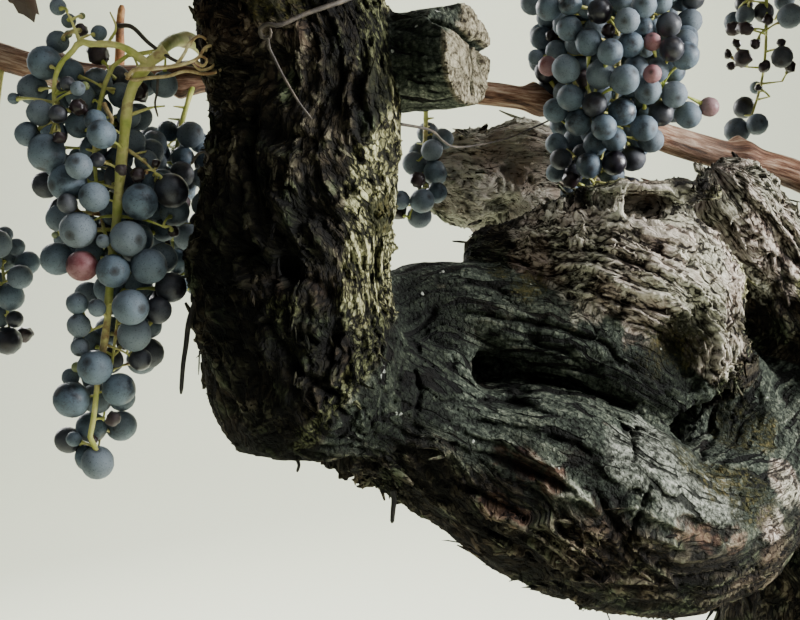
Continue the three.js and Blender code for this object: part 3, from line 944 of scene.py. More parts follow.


# One bark for all the old wood. Its tone comes from the carved relief, whose dark cracks are partly painted
# shade, and from fibres, scales and specks; then rust, crumbs, lichen, weather, red inner bark, moss,
# painted shade on shaded spots, the sawn end and dots of lichen cover it.
bark, tree, shader, place = new_skin("old bark", 0.85, 0.12)
relief, smooth = attribute(tree, "relief"), attribute(tree, "smooth")
grain = attribute(tree, "grain", 1)
in_mm = vector_node("MULTIPLY", place, (1000, 1000, 1000))
thread = grouped(tree, fibres, Grain=grain, Width=1.0)
large = grouped(tree, flakes, Grain=grain, Width=2.4, Length=9.5)
small = grouped(tree, flakes, Grain=grain, Width=1.1, Length=3.4)
plank = grouped(tree, flakes, Grain=grain, Width=4.2, Length=24.0)
crumb = grouped(tree, flakes, Grain=in_mm, Width=1.7, Length=2.0)
patch, speck = noise_node(place, 38, 3), noise_node(place, 420, 3)
split = stepped(plank["Edge"], 0.64, 0.76)
# The tone falls with the carved relief, so the cracks are darker: partly the bark's own colour, partly
# painted shade.
tone = relief * 0.72 + 0.14 + (thread["Height"] - 0.8) * 0.45 + (patch - 0.5) * 0.5
scaly = large["Height"] * 0.24 + small["Height"] * 0.3
rough_tone = tone + (scaly * 1.5 - 0.2) + (speck - 0.5) * 0.5
plank_tone = plank["Tone"] * 0.14 - split * 0.7 + (crumb["Height"] - 0.1) * 0.16
plank_tone = tone + plank_tone + (speck - 0.5) * 0.7
crumb_tone = rough_tone + (crumb["Height"] * 0.4 - 0.08)
worn_tone = rough_tone + 0.07
greened = mask(noise_node(place, 62, 3), 0.5, 0.64, high=0.75)
shaggy = mixed(greened, toned(rough_tone, "shaggy"), toned(rough_tone, "greenish"))
colour = mixed(smooth, shaggy, toned(plank_tone, "plain"))
rust = mask(noise_node(place, 26, 2), 0.5, 0.68) * (0.34 - smooth * 0.26)
colour = mixed(rust, colour, toned(rough_tone, "rusty"))
pale = toned(crumb_tone, "pale")
crumbs = mask(attribute(tree, "crumbly") + patch * 0.6, 0.85, 1.25)
colour = mixed(crumbs * 0.7, colour, pale)
crusted = mask(speck + patch * 0.5, 0.62, 0.84, 0.3, 0.9)
colour = mixed(attribute(tree, "lichen") * crusted, colour, mixed(smooth, pale, toned(plank_tone, "grey")))
weathered = mixed(mask(patch, 0.44, 0.6), toned(worn_tone, "beige"), toned(worn_tone, "pinkish"))
colour = mixed(attribute(tree, "bare") * 0.9, colour, weathered)
colour = mixed(attribute(tree, "red") * 0.42, colour, toned(rough_tone, "red"))
moss = toned(crumb["Tone"] * 0.3 + speck * 0.7 + (patch - 0.5) * 1.2, "moss")
mossed = attribute(tree, "moss") * mask(speck + rough_tone * 0.4, 0.5, 0.72, 0.05, 0.92)
colour = mixed(mossed, colour, moss)
# Painted shade: the bark is multiplied darker in the spots where the wood lies in shade.
colour = mixed(attribute(tree, "damp"), colour, PAINTED_SHADE_TINT, "MULTIPLY")
wood = toned(noise_node(place, 210, 5, 0.7) + patch * 0.3, "sawn")
wood = mixed(1.0, wood, toned(speck + patch * 0.4, "stain"), "MULTIPLY")
colour = mixed(attribute(tree, "sawn"), colour, wood)
dots = mask(noise_node(place, 200, 1), 0.76, 0.79) * (smooth * 0.6)
rough_height = scaly * 2.6 + thread["Height"] * 0.8
plain_height = thread["Height"] * 0.45 - split * 1.0 + crumb["Height"] * 0.35
grit = node(tree, "ShaderNodeMix", {0: smooth, 2: rough_height, 3: plain_height}) + speck * 0.7
finish(shader, mixed(dots, colour, DOTS), grit, 0.0016, 0.9)


def give(piece, **layers):
    """Writes attributes on the points of a piece's mesh: one number or three for each point."""
    for name, values in layers.items():
        values = np.ascontiguousarray(values, np.float32)
        vector = values.ndim == 2
        layer = piece.data.attributes.new(name, "FLOAT_VECTOR" if vector else "FLOAT", "POINT")
        layer.data.foreach_set("vector" if vector else "value", values.ravel())


def put_on(piece, slot, replaced=None):
    """A piece stands with the plant on its one body, in place of a node; the slot is not used."""
    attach(piece, "root")
    if replaced:
        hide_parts(replaced)


# Loose flakes: ends of old bark that stand off the limbs, most of them on the shaggy arm and the
# trunk. For each limb how many, their length and half width in mm, and then how wide each of a flake's
# rows is from its root to its tip.
LOOSE = {
    "trunk": (1000, 34, 4.2), "lower_limb": (600, 12, 1.3), "front_arm": (1500, 10, 1.6),
    "burl": (600, 9, 1.2), "right_arm": (220, 10, 1.6), "back_arm": (380, 14, 1.9),
    "rear_arm": (420, 24, 3.2),
}
LOOSE_WIDTHS = (0.8, 1, 1, 0.85, 0.45)
LOOSE_ROWS, LOOSE_POINTS = 5, 18
LOOSE_MIDDLES = [4, 7, 10]
FLAKE_SEED = 800
# How light bark is in the middle of its relief, and the relief that makes it 1 lighter; its darker cracks
# are partly painted shade.
EVEN_LIGHTNESS, LIGHTENING_RELIEF = 0.5, 7 * MM


def copied(faces, count, points):
    """The faces of count copies of a shape of so many points, one copy after another."""
    first = (np.arange(count) * points)[:, None, None]
    return [(part + first).reshape(-1, part.shape[1]) for part in faces]


def loose_faces():
    """One flake: a strip of five rows of three points, with three more under the middle ones that make
    it a closed, thin shell. Its faces, upper side first."""
    under = np.arange(3 * LOOSE_ROWS)
    under[LOOSE_MIDDLES] = 3 * LOOSE_ROWS + np.arange(3)
    quads = grid_faces(LOOSE_ROWS, 3)
    return np.vstack([quads[:, ::-1], under[quads]])


def loose_flakes(name, points, faces, grain, looks, rng):
    """Flakes on faces chosen at random, fewer where the bark is smooth. Each is rooted under the
    surface, lies along the limb and lifts towards its tip as its share of the way to the power 1.8."""
    count, length, half = LOOSE[name]
    corner = points[faces]
    across = np.cross(corner[:, 2] - corner[:, 0], corner[:, 3] - corner[:, 1])
    area = np.linalg.norm(across, axis=1)
    centre = corner.mean(1)
    likely = area * (1.04 - looks[faces[:, 0], 1]) * fade(-0.5, 0.5, noise(centre, 22 * MM, 44))
    likely *= fade(0.03, 0.07, centre[:, 2])
    if name == "front_arm":
        likely *= fade(0.69, 0.725, centre[:, 2])
    chosen = rng.choice(len(faces), count, p=likely / likely.sum())
    base, up = centre[chosen], across[chosen] / area[chosen][:, None]
    line = GRAIN[name]["line"]
    near = ((base[:, None] - line[None]) ** 2).sum(2).argmin(1)
    along = GRAIN[name]["along"][near] * rng.choice([-1, 1], count, p=[0.6, 0.4])[:, None]
    along = along + 0.25 * rng.normal(size=along.shape)
    ahead = np.abs((along * up).sum(1))
    along = unit(along - up * (along * up).sum(1)[:, None])
    side = np.cross(up, along)
    u = np.linspace(0, 1, LOOSE_ROWS)[None, :, None]
    v = np.array([-1, 0, 1])[None, None]
    size = (count, 1, 1)
    long = length * MM * rng.uniform(0.35, 1.25, size) * (0.3 + 0.7 * fade(0.85, 0.4, ahead))[:, None, None]
    wide = half * MM * rng.uniform(0.5, 1.3, size) * np.array(LOOSE_WIDTHS)[None, :, None]
    wide = wide * rng.uniform(0.7, 1.2, (count, LOOSE_ROWS, 1))
    rise = long * rng.uniform(0.02, 0.17, size)
    sway = long * rng.normal(size=size) * 0.14
    flat = v * wide + sway * u ** 2
    lift = rise * u ** 1.8 - 1.1 * MM + wide * rng.uniform(-0.5, 0.5, size) * (1 - v ** 2)
    rows = u * long + 0 * v
    upper = base[:, None, None]
    for far, way in ((rows, along), (flat, side), (lift, up)):
        upper = upper + far[..., None] * way[:, None, None]
    upper = upper.reshape(count, -1, 3)
    shells = np.concatenate([upper, upper[:, LOOSE_MIDDLES] - 0.55 * MM * up[:, None]], 1)
    root = grain[faces[chosen, 0]]
    shift = np.stack([flat, 0 * flat, rows], -1).reshape(count, -1, 3)
    shift = np.concatenate([shift, shift[:, LOOSE_MIDDLES]], 1)
    # A flake takes its tone from the relief at its root, partly painted shade, and grows paler towards its
    # tip.
    shade = 0.12 * rng.normal(size=(count, 1)) + looks[faces[chosen, 0], 0][:, None] / LIGHTENING_RELIEF
    paler = np.r_[np.repeat(np.linspace(0, 1, LOOSE_ROWS), 3), 0.2, 0.3, 0.4]
    shade = shade + EVEN_LIGHTNESS + 0.16 * paler[None]
    return (shells.reshape(-1, 3), copied([loose_faces()], count, LOOSE_POINTS),
            (root[:, None] + shift).reshape(-1, 3), shade.ravel(),
            np.repeat(looks[faces[chosen, 0]], LOOSE_POINTS, 0))


with concurrent.futures.ThreadPoolExecutor(4) as carvers:
    carved = list(carvers.map(carve, WOOD_PIECES))

# How light the bark of some limbs is: partly their own tone, partly painted light, as the back arm and
# the cut spur are made paler where little light reaches them. Then how deep under the cut, in mm, wood looks
# sawn: none of it, all of it, and how slowly that fades.
LIGHTNESS_AND_PAINTED_LIGHT = {"cut_spur": 0.6, "upper_limb": 0.45, "back_arm": 1.05, "right_arm": 0.54}
SAWN_DEPTHS = (3.5, 1.5, 14)


def give_bark(piece, points, grain, relief, smooth, crumbly):
    """Gives a piece all that the bark's material reads."""
    give(piece, grain=grain / MM, relief=relief, smooth=smooth, crumbly=crumbly,
         **{kind: spots_at(single(points), kind) for kind in SPOTS})


for (label, name, _, _), (points, faces, grain, looks) in zip(WOOD_PIECES, carved):
    piece = new_piece(label + "_bark", points, faces, bark)
    # Painted light and shade: each limb's lightness, then lighter on raised bark and darker in its cracks.
    relief = LIGHTNESS_AND_PAINTED_LIGHT.get(name, EVEN_LIGHTNESS) + looks[:, 0] / LIGHTENING_RELIEF
    give_bark(piece, points, grain, relief, looks[:, 1], looks[:, 2])
    if name == "cut_spur":
        depth = (SAWN_PLACE - points) @ SAWN_WAY / MM
        give(piece, sawn=fade(*SAWN_DEPTHS[:2], depth) * fade(0.5, 0.9, 1 - depth / SAWN_DEPTHS[2]))
    put_on(piece, "cut_wood" if name == "cut_spur" else "old_bark", name)

for k, name in enumerate(LOOSE):
    parts = [part for (_, owner, _, _), part in zip(WOOD_PIECES, carved) if owner == name]
    start = np.cumsum([0] + [len(part[0]) for part in parts])
    points, grain, looks = (np.concatenate([part[i] for part in parts]) for i in (0, 2, 3))
    faces = np.concatenate([part[1] + first for part, first in zip(parts, start)])
    rng = np.random.default_rng(FLAKE_SEED + k)
    points, faces, grain, shade, looks = loose_flakes(name, points, faces, grain, looks, rng)
    piece = new_piece(name + "_flakes", points, faces, bark)
    give_bark(piece, points, grain, shade, 0 * shade, looks[:, 2])
    put_on(piece, "old_bark", name)

# Canes: last summer's growth, pencil-thick, ripened to red-brown bark with fine ribs along it and a
# swelling with a bud at every node. They spring from the arms and lie along the row.
CANES = {
    "long_cane": [(46, 46, 775, 10), (-4, 32, 808, 9), (-68, 22, 825, 8), (-152, 0, 848, 6.6),
        (-215, -9, 856, 6), (-300, -8, 862, 6.4), (-403, -26, 861, 7), (-462, -33, 874, 6.8)],
    "long_cane_tip": [(-458, -33, 873, 6.8), (-512, -38, 910, 6.4), (-542, -36, 965, 6),
        (-552, -28, 1045, 5.4)],
    "upper_cane": [(-276, -62, 972, 8), (-236, -48, 980, 7), (-122, -12, 986, 6.2), (-66, 8, 1006, 6),
        (-34, 24, 1060, 5.6), (-28, 32, 1120, 5.2)],
    "back_cane": [(58, 62, 930, 8), (-20, 108, 988, 7.2), (-110, 152, 1012, 6.6), (-176, 190, 1060, 6),
        (-196, 210, 1110, 5.6)],
    "right_cane": [(70, 50, 905, 8), (120, 24, 940, 7.4), (186, 6, 958, 7), (232, -8, 990, 6.4),
        (246, -12, 1040, 5.6)],
    "rear_cane": [(70, 62, 948, 8), (104, 122, 986, 7), (118, 180, 1004, 6.6), (122, 226, 1046, 6)],
}
CANE_SIDES = 22
CANE_STEP = 1.8 * MM
NODE_SPACING = 64 * MM
CANE_SEED = 300


def cap_faces(rows, columns):
    """Triangles from a tube's first and last rings to the two points that follow the rings."""
    k, last = np.arange(columns), (rows - 1) * columns
    start = np.stack([np.full(columns, rows * columns), (k + 1) % columns, k], 1)
    return np.vstack([start, np.stack([start[:, 0] + 1, last + k, last + (k + 1) % columns], 1)])


def turns(count):
    """So many equal turns of a circle, with no end."""
    return np.linspace(0, 2 * np.pi, count, endpoint=False)


def tubes(paths, radii, sides, across=None):
    """Round tubes along paths (tube, step, xyz), each closed by a point at both ends: rings of points
    radii[tube, step, side] out from the path in two directions across it."""
    count, steps, _ = paths.shape
    if across is None:
        along = unit(np.gradient(paths, axis=1))
        side = unit(np.cross(along, (0.31, 0.92, 0.24)))
        across = side, np.cross(along, side)
    one, two = (way.reshape(count, steps, 1, 3) for way in across)
    turn = turns(sides)[:, None]
    out = one * np.cos(turn) + two * np.sin(turn)
    rings = paths[:, :, None] + radii.reshape(count, steps, -1, 1) * out
    points = np.concatenate([rings.reshape(count, -1, 3), paths[:, :1], paths[:, -1:]], 1)
    faces = grid_faces(steps, sides, closed=True), cap_faces(steps, sides)
    return points.reshape(-1, 3), copied(faces, count, steps * sides + 2)


def cane_surface(stations, seed):
    """A cane's radius is its own, swollen by a bell at each node and a bud on alternate sides of it,
    ribbed by fibres, and drawn in to a round end over its last few millimetres."""
    line, s = smooth_line(stations, CANE_STEP)
    middle, radius = line[:, :3], line[:, 3][:, None]
    turn = turns(CANE_SIDES)[None]
    places = NODE_SPACING * (0.6 + np.arange(int(s[-1] / NODE_SPACING)))
    swell = np.zeros((len(s), 1))
    bud = np.zeros((len(s), CANE_SIDES))
    for k, place in enumerate(places):
        bell = np.exp(-((s - place) / (6.5 * MM)) ** 2)[:, None]
        swell += 0.34 * bell
        reach = np.exp(-((s - place - 5 * MM) / (4 * MM)) ** 2)[:, None]
        bud += 0.55 * reach * np.exp(-(np.angle(np.exp(1j * (turn - k * np.pi - 0.5))) / 0.5) ** 2)
    grain = np.stack(np.broadcast_arrays(np.cos(turn) * radius, np.sin(turn) * radius, s[:, None]), -1)
    grain = single(grain.reshape(-1, 3))
    ribs = noise(grain, (1.7 * MM, 1.7 * MM, 40 * MM), seed)
    ribs = ribs + 0.6 * noise(grain, (1 * MM, 1 * MM, 12 * MM), seed + 1)
    bends = 1 + 0.1 * noise(grain, (60 * MM, 60 * MM, 30 * MM), seed + 2).reshape(len(s), -1)
    ends = np.sqrt(np.clip(np.minimum(s, s[-1] - s) / (4 * MM), 0.02, 1))[:, None]
    radii = radius * (bends + swell + bud) * ends + 0.35 * MM * ribs.reshape(len(s), -1) * ends
    points, faces = tubes(middle[None], radii, CANE_SIDES, carried_frames(middle)[1:])
    extra = single([[0, 0, 0], [0, 0, s[-1]]])
    nodes = np.repeat(np.minimum(swell * 2.5, 1), CANE_SIDES)
    return points, faces, np.vstack([grain, extra]), np.r_[nodes, 0, 0], np.r_[0.5 + 0.35 * ribs, 0.5, 0.5]


CANE_TONES = ((0.34, 0.03, 0.012, 0.007), (0.5, 0.15, 0.066, 0.037), (0.64, 0.33, 0.18, 0.11),
              (0.84, 0.62, 0.46, 0.34))
cane_skin, tree, shader, place = new_skin("cane skin", 0.6, 0.25)
grain = attribute(tree, "grain", 1)
thread = grouped(tree, fibres, Grain=grain, Width=0.6)
peel = grouped(tree, fibres, Grain=grain, Width=2.6)
tone = thread["Height"] * 0.5 + attribute(tree, "relief") * 0.35 + (peel["Height"] - 0.765) * 1.3
colour = mixed(mask(noise_node(place, 30, 3), 0.5, 0.7) * 0.6, ramp(tone, *CANE_TONES), (0.17, 0.13, 0.1))
colour = mixed(attribute(tree, "nodes") * 0.5, colour, (0.05, 0.024, 0.015))
finish(shader, colour, thread["Height"] + peel["Height"], 0.0008, 0.9)

for k, (label, stations) in enumerate(CANES.items()):
    points, faces, grain_mm, nodes_share, relief = cane_surface(stations, CANE_SEED + 4 * k)
    piece = new_piece(label + "_skin", points, faces, cane_skin)
    give(piece, grain=grain_mm / MM, nodes=nodes_share, relief=relief)
    put_on(piece, "cane_bark", label)

# Bunches: blue-black berries under a pale bloom, on a green stalk that forks into short stalks, one
# to a berry. Each bunch is packed with berries until they touch, as they grow.
BUNCHES = {
    "bunch_front": [(-346, -110, 864, 3), (-368, -112, 858, 24), (-377, -115, 826, 31),
        (-375, -118, 792, 29), (-367, -122, 759, 24), (-369, -125, 728, 19), (-377, -130, 678, 9)],
    "bunch_behind_arm": [(-350, -21, 857, 3), (-354, -38, 832, 19), (-358, -42, 802, 21),
        (-358, -44, 776, 19), (-355, -46, 748, 11)],
    "bunch_far_left": [(-447, -32, 866, 3), (-446, -54, 820, 3), (-440, -74, 785, 8), (-435, -76, 764, 15),
        (-431, -80, 730, 9)],
    "bunch_upper": [(-126, -13, 977, 4), (-126, -15, 950, 30), (-125, -17, 905, 44), (-124, -20, 858, 41),
        (-131, -21, 824, 26), (-138, -22, 800, 12)],
    "bunch_rear": [(-20, 108, 978, 3), (-12, 98, 950, 14), (-9, 96, 910, 23), (-12, 91, 872, 22),
        (-23, 88, 834, 10)],
    "bunch_middle": [(-226, -9, 853, 3), (-226, 5, 830, 12), (-229, 6, 804, 14), (-235, 5, 786, 9)],
    "bunch_right": [(182, 5, 948, 3), (181, 4, 918, 22), (181, 4, 880, 33), (180, 2, 836, 28),
        (177, 2, 790, 12)],
    "bunch_back": [(108, 140, 986, 3), (108, 142, 958, 20), (109, 142, 920, 32), (106, 140, 880, 28),
        (104, 140, 836, 12)],
    "bunch_left": [(-508, -40, 900, 3), (-512, -42, 876, 18), (-514, -42, 845, 28), (-512, -42, 812, 22),
        (-510, -42, 782, 10)],
}
BERRY_RADIUS = 6.4 * MM
BUNCH_SEED, WRINKLE_SEED = 50, 70
# Places that a bunch's berries are chosen from, how near two come as a share of their two radii, and a
# ball's volume as a share of its radius cubed.
STREWN, TOUCHING, SPHERE = 4000, 0.97, 4.19
# The camera's focal length in pixels of the 800 x 620 picture, and that picture's middle.
FOCAL_PIXELS = 800 * 50 / 36
PICTURE_MIDDLE = (400, 310)

# Berries of three bunches, read off the photograph: column, row and diameter, and the kind of those
# that aren't ripe (r): d dark with its bloom rubbed off, p pink, g green, s shrivelled.
FRONT_BERRIES = [
    (58, 7, 17), (69, 21, 15), (81, 30, 17, "s"), (99, 33, 16), (58, 41, 23), (68, 35, 8, "g"),
    (82, 16, 7, "g"), (47, 65, 34), (31, 89, 31), (16, 98, 12), (80, 90, 15), (83, 86, 9, "g"),
    (68, 84, 15, "d"), (61, 86, 10, "d"), (79, 107, 25, "s"), (39, 114, 26), (58, 114, 19, "d"),
    (93, 120, 22), (103, 133, 29), (60, 138, 17, "s"), (28, 133, 25), (46, 153, 38), (81, 167, 27),
    (65, 182, 38), (94, 197, 30), (69, 202, 20, "d"), (96, 160, 15, "d"), (122, 170, 15, "s"),
    (138, 174, 20, "s"), (156, 163, 13, "s"), (140, 202, 36), (173, 191, 34, "d"), (78, 230, 37),
    (57, 259, 33), (82, 266, 31, "p"), (113, 271, 34), (128, 239, 36), (148, 266, 36), (170, 288, 31, "d"),
    (158, 310, 27, "d"), (134, 308, 36), (134, 335, 34), (138, 358, 23, "d"), (77, 304, 22), (79, 325, 24),
    (97, 308, 18), (80, 347, 19), (97, 368, 35), (74, 398, 36), (117, 389, 33), (70, 378, 18),
    (77, 367, 11, "g"), (114, 418, 20, "s"), (74, 439, 15), (93, 440, 15, "s"), (98, 462, 33),
    (104, 241, 14), (55, 235, 7, "g"), (174, 231, 15, "s"),
]
UPPER_BERRIES = [
    (549, 8, 26), (570, 4, 24), (570, 28, 26), (589, 42, 27), (600, 11, 26, "d"), (627, 22, 26),
    (642, 9, 26), (645, 25, 22), (661, 3, 24), (669, 23, 26, "d"), (630, 48, 27), (609, 54, 26),
    (566, 69, 29), (548, 66, 20, "p"), (604, 72, 30), (623, 79, 30), (638, 66, 26), (658, 69, 27),
    (684, 55, 28), (688, 42, 26), (668, 51, 25, "d"), (649, 88, 28), (672, 96, 27), (570, 98, 27),
    (594, 105, 26, "d"), (622, 112, 28), (556, 110, 25), (644, 128, 27), (663, 112, 26, "d"),
    (688, 115, 27), (709, 107, 20, "p"), (579, 122, 27), (602, 130, 26), (612, 139, 25), (599, 143, 25),
    (590, 165, 27), (612, 163, 25, "d"), (561, 159, 22, "d"), (571, 179, 22, "s"), (649, 75, 19, "p"),
    (653, 42, 18, "p"), (609, 31, 18, "s"), (630, 189, 25, "d"),
]
REAR_BERRIES = [
    (790, 16, 25), (744, 29, 20, "s"), (743, 58, 24, "s"), (755, 44, 14, "s"), (780, 58, 22, "d"),
    (790, 67, 14, "s"), (740, 130, 26), (754, 125, 22), (728, 54, 12, "s"), (758, 88, 10, "s"),
    (731, 66, 12, "s"), (782, 43, 12, "s"), (766, 66, 16, "s"), (737, 43, 13, "s"), (768, 20, 15, "s"),
]
# The sizes of the berries that are not read off the photograph, how many have each, and how many are
# ripe, dark or shrivelled; the smallest are green.
BERRY_SIZES, SIZE_SHARES = (1.08, 1.0, 0.94, 0.84, 0.66, 0.45), (0.25, 0.3, 0.2, 0.13, 0.08, 0.04)
KIND_SHARES = (0.72, 0.2, 0.08)
# How full of berries a bunch is: the one at the rear has lost most of its own.
FULL, THINNED = 0.52, {"bunch_rear": 0.2}


def seen(column, row, depth):
    """The place in metres that the photograph shows at a pixel, so far in front of the camera."""
    across = (column - PICTURE_MIDDLE[0]) / FOCAL_PIXELS * depth
    up = (PICTURE_MIDDLE[1] - row) / FOCAL_PIXELS * depth
    tilt = CAMERA_TILT_DOWN
    return np.stack(np.broadcast_arrays(
        CAMERA_PLACE[0] + across, CAMERA_PLACE[1] + depth * math.cos(tilt) + up * math.sin(tilt),
        CAMERA_PLACE[2] - depth * math.sin(tilt) + up * math.cos(tilt)), -1)


def settle(places, radii, movable, rounds=60):
    """Pushes overlapping berries apart along the line between them, half the overlap each, where
    movable says in which directions each may go."""
    for _ in range(rounds):
        gap = places[:, None] - places[None]
        distance = np.linalg.norm(gap, axis=2) + 1e-9
        overlap = np.maximum(TOUCHING * (radii[:, None] + radii[None]) - distance, 0)
        np.fill_diagonal(overlap, 0)
        places = places + (gap / distance[:, :, None] * overlap[:, :, None] * 0.5).sum(1) * movable
    return places


def girth_at(stations, heights):
    """A bunch's middle (x, y) and radius at these heights, straight between its stations."""
    s = np.array(stations, float)[::-1] * MM
    return [np.interp(heights, s[:, 2], s[:, k]) for k in (0, 1, 3)]


def pack_bunch(stations, berries, full, rng):
    """Berries read off the photograph stand on the side that faces it; the rest are strewn in the
    bunch's round shape, as many as fill it, and all are settled."""
    s = np.array(stations, float) * MM
    low, high = s[-1, 2], s[1, 2]
    read = np.array([b[:3] for b in berries], float).reshape(-1, 3)
    kinds = [(*b, "r")[3] for b in berries]
    depth = np.full(len(read), s[:, 1].mean() - CAMERA_PLACE[1])
    for _ in range(3):
        place = seen(read[:, 0], read[:, 1], depth)
        x, y, radius = girth_at(stations, place[:, 2])
        bulge = np.sqrt(np.maximum((radius + 2 * MM) ** 2 - (place[:, 0] - x) ** 2, 0))
        depth = depth + (y - 0.7 * bulge) - place[:, 1]
    size = read[:, 2] / 2 / FOCAL_PIXELS * depth
    heights = rng.uniform(low, high, STREWN)
    x, y, radius = girth_at(stations, heights)
    kept = rng.uniform(0, 1, STREWN) < (radius / radius.max()) ** 2
    heights, x, y, radius = heights[kept], x[kept], y[kept], radius[kept]
    turn = rng.uniform(0, 2 * np.pi, len(heights))
    out = np.sqrt(rng.uniform(0.15, 1, len(heights))) * np.maximum(radius - 3 * MM, 1 * MM)
    strewn = np.stack([x + out * np.cos(turn), y + out * np.sin(turn), heights], 1)
    volume = np.trapz(np.pi * np.maximum(s[::-1, 3], 7 * MM) ** 2, s[::-1, 2])
    wanted = max(int(full * volume / (SPHERE * BERRY_RADIUS ** 3)) - len(read), 4)
    if len(read):
        strewn = strewn[strewn[:, 1] > y + 0.15 * radius]
    strewn = strewn[:wanted]
    sizes = BERRY_RADIUS * rng.choice(BERRY_SIZES, len(strewn), p=SIZE_SHARES)
    others = rng.choice(list("rds"), len(strewn), p=KIND_SHARES)
    kinds += list(np.where(sizes < 0.5 * BERRY_RADIUS, "g", others))
    places, radii = np.vstack([place, strewn]), np.r_[size, sizes]
    movable = np.ones((len(places), 3))
    movable[:len(read), [0, 2]] = 0.06
    return settle(places, radii, movable), radii, np.array(kinds)


def berry_shape(rows, columns):
    """A unit sphere's rings and its two poles, the stalk's end first, with its faces."""
    tall = np.linspace(0, np.pi, rows + 2)[1:-1]
    sine, cosine, turn = np.sin(tall)[:, None], np.cos(tall)[:, None], turns(columns)
    ring = np.stack([sine * np.cos(turn), sine * np.sin(turn), cosine + 0 * turn], -1).reshape(-1, 3)
    points = np.vstack([ring, (0, 0, 1), (0, 0, -1)])
    return points, [grid_faces(rows, columns, closed=True)[:, ::-1], cap_faces(rows, columns)[:, [0, 2, 1]]]


def berry_mesh(places, radii, kinds, stalks, rows, columns, seed):
    """All berries of a bunch: each a sphere a little longer than wide with a dimple at its foot,
    turned to its stalk; a shrivelled one is wrinkled by noise and drawn in."""
    shape, faces = berry_shape(rows, columns)
    way = unit(stalks - places)
    side = unit(np.cross(way, (0.3, 0.9, 0.2)))
    turned = np.stack([side, np.cross(way, side), way], 1)
    dimple = 1 - 0.1 * np.exp(-((1 + shape[:, 2]) / 0.04)) - 0.06 * np.exp(-((1 - shape[:, 2]) / 0.05))
    local = shape * dimple[:, None] * (1, 1, 1.05) * radii[:, None, None]
    points = np.einsum("nki,nij->nkj", local, turned) + places[:, None]
    dry = kinds == "s"
    if dry.any():
        crumpled = single(points[dry].reshape(-1, 3))
        pull = 0.64 + 0.16 * noise(crumpled, 4.5 * MM, seed)
        pull = pull + 0.3 * np.abs(noise(crumpled, 2.4 * MM, seed + 1))
        middle = np.repeat(places[dry], len(shape), 0)
        points[dry] = (middle + (crumpled - middle) * pull[:, None]).reshape(points[dry].shape)
    faces = copied(faces, len(places), len(shape))
    return points.reshape(-1, 3), faces, np.tile(shape[:, 2], len(places))


def berry_skin(name, under, bloom, cover):
    """Skin of one kind: its own colour under a dusty bloom, more on one berry than on the next, rubbed
    off in places and full of dark specks."""
    material, tree, shader, place = new_skin(name, 0.8)
    own = attribute(tree, "own")
    dust = noise_node(place, 130, 3, 0.55) + noise_node(place, 900, 3, 0.7) * 0.35 + (own - 0.5) * 0.24
    rubbed = ramp(dust, (cover - 0.1, 0, 0, 0), (cover + 0.16, 0.7, 0.7, 0.7), (cover + 0.4, 1, 1, 1))
    greyer = tuple(0.55 * value + 0.45 * sum(bloom) / 3 for value in bloom)
    colour = mixed(rubbed, under, mixed(own, bloom, greyer))
    colour = mixed(mask(noise_node(place, 1500, 1), 0.62, 0.7) * 0.6, colour, under)
    ends = mask(abs(attribute(tree, "height")), 0.93, 0.995)
    colour = mixed(ends * 0.85, colour, (0.012, 0.008, 0.007))
    gloss = {"Value": rubbed, "To Min": 0.32, "To Max": 0.75}
    feed(shader.inputs["Roughness"], node(tree, "ShaderNodeMapRange", gloss))
    finish(shader, colour, noise_node(place, 1100, 2), 0.0001, 0.5)
    return material


BERRY_SKINS = {
    "r": berry_skin("ripe berry", (0.009, 0.01, 0.017), (0.122, 0.175, 0.222), 0.45),
    "d": berry_skin("dark berry", (0.008, 0.006, 0.01), (0.06, 0.07, 0.09), 0.62),
    "p": berry_skin("pink berry", (0.13, 0.02, 0.025), (0.3, 0.14, 0.15), 0.5),
    "g": berry_skin("green berry", (0.14, 0.17, 0.04), (0.3, 0.34, 0.15), 0.55),
    "s": berry_skin("shrivelled berry", (0.012, 0.005, 0.006), (0.07, 0.036, 0.042), 0.68),
}

STALK_TONES = ((0.42, 0.19, 0.25, 0.035), (0.58, 0.42, 0.45, 0.09), (0.72, 0.6, 0.56, 0.2),
               (0.84, 0.24, 0.12, 0.05))
stalk_skin, tree, shader, place = new_skin("green stalk", 0.55)
shade = noise_node(place, 45, 3) + noise_node(place, 300, 2) * 0.3
finish(shader, ramp(shade, *STALK_TONES), noise_node(place, 700, 3), 0.0002, 0.7)

# The front bunch's stalk, read off the photograph: from the shoot over the wing and down the middle,
# each with its thickness in mm and how far in front of the camera it lies.
FRONT_STALKS = [
    (5.6, 0.488, [(166, 50), (148, 64), (135, 82), (128, 100), (125, 130), (122, 155), (119, 189),
        (117, 215), (112, 260), (109, 295), (107, 324), (104, 344), (99, 375), (96, 395), (94, 418),
        (89, 433), (97, 452)]),
    (3.6, 0.487, [(148, 64), (125, 48), (108, 44), (90, 44), (80, 42), (72, 52), (62, 62), (55, 78),
        (54, 100), (55, 122)]), (1.8, 0.49, [(80, 42), (72, 22), (67, 12)]),
    (1.6, 0.49, [(108, 43), (116, 28), (110, 12)]), (1.8, 0.49, [(130, 115), (150, 108), (165, 106)]),
    (1.8, 0.49, [(128, 150), (142, 160), (158, 175)]), (1.7, 0.49, [(117, 216), (102, 217), (90, 222)]),
    (1.7, 0.49, [(117, 216), (142, 219), (165, 227)]), (1.5, 0.49, [(107, 324), (92, 330), (82, 338)]),
    (1.5, 0.49, [(104, 344), (120, 350), (130, 356)]), (1.4, 0.49, [(96, 395), (84, 398), (76, 402)]),
    (1.4, 0.49, [(119, 189), (100, 184), (84, 180)]),
]


LINE_POINTS = 26


def resampled(corners, count):
    """A smooth line through corners, as count points."""
    line, _ = smooth_line(np.array(corners) / MM, 1 * MM)
    return straight_between(np.linspace(0, len(line) - 1, count), np.arange(len(line)), line)


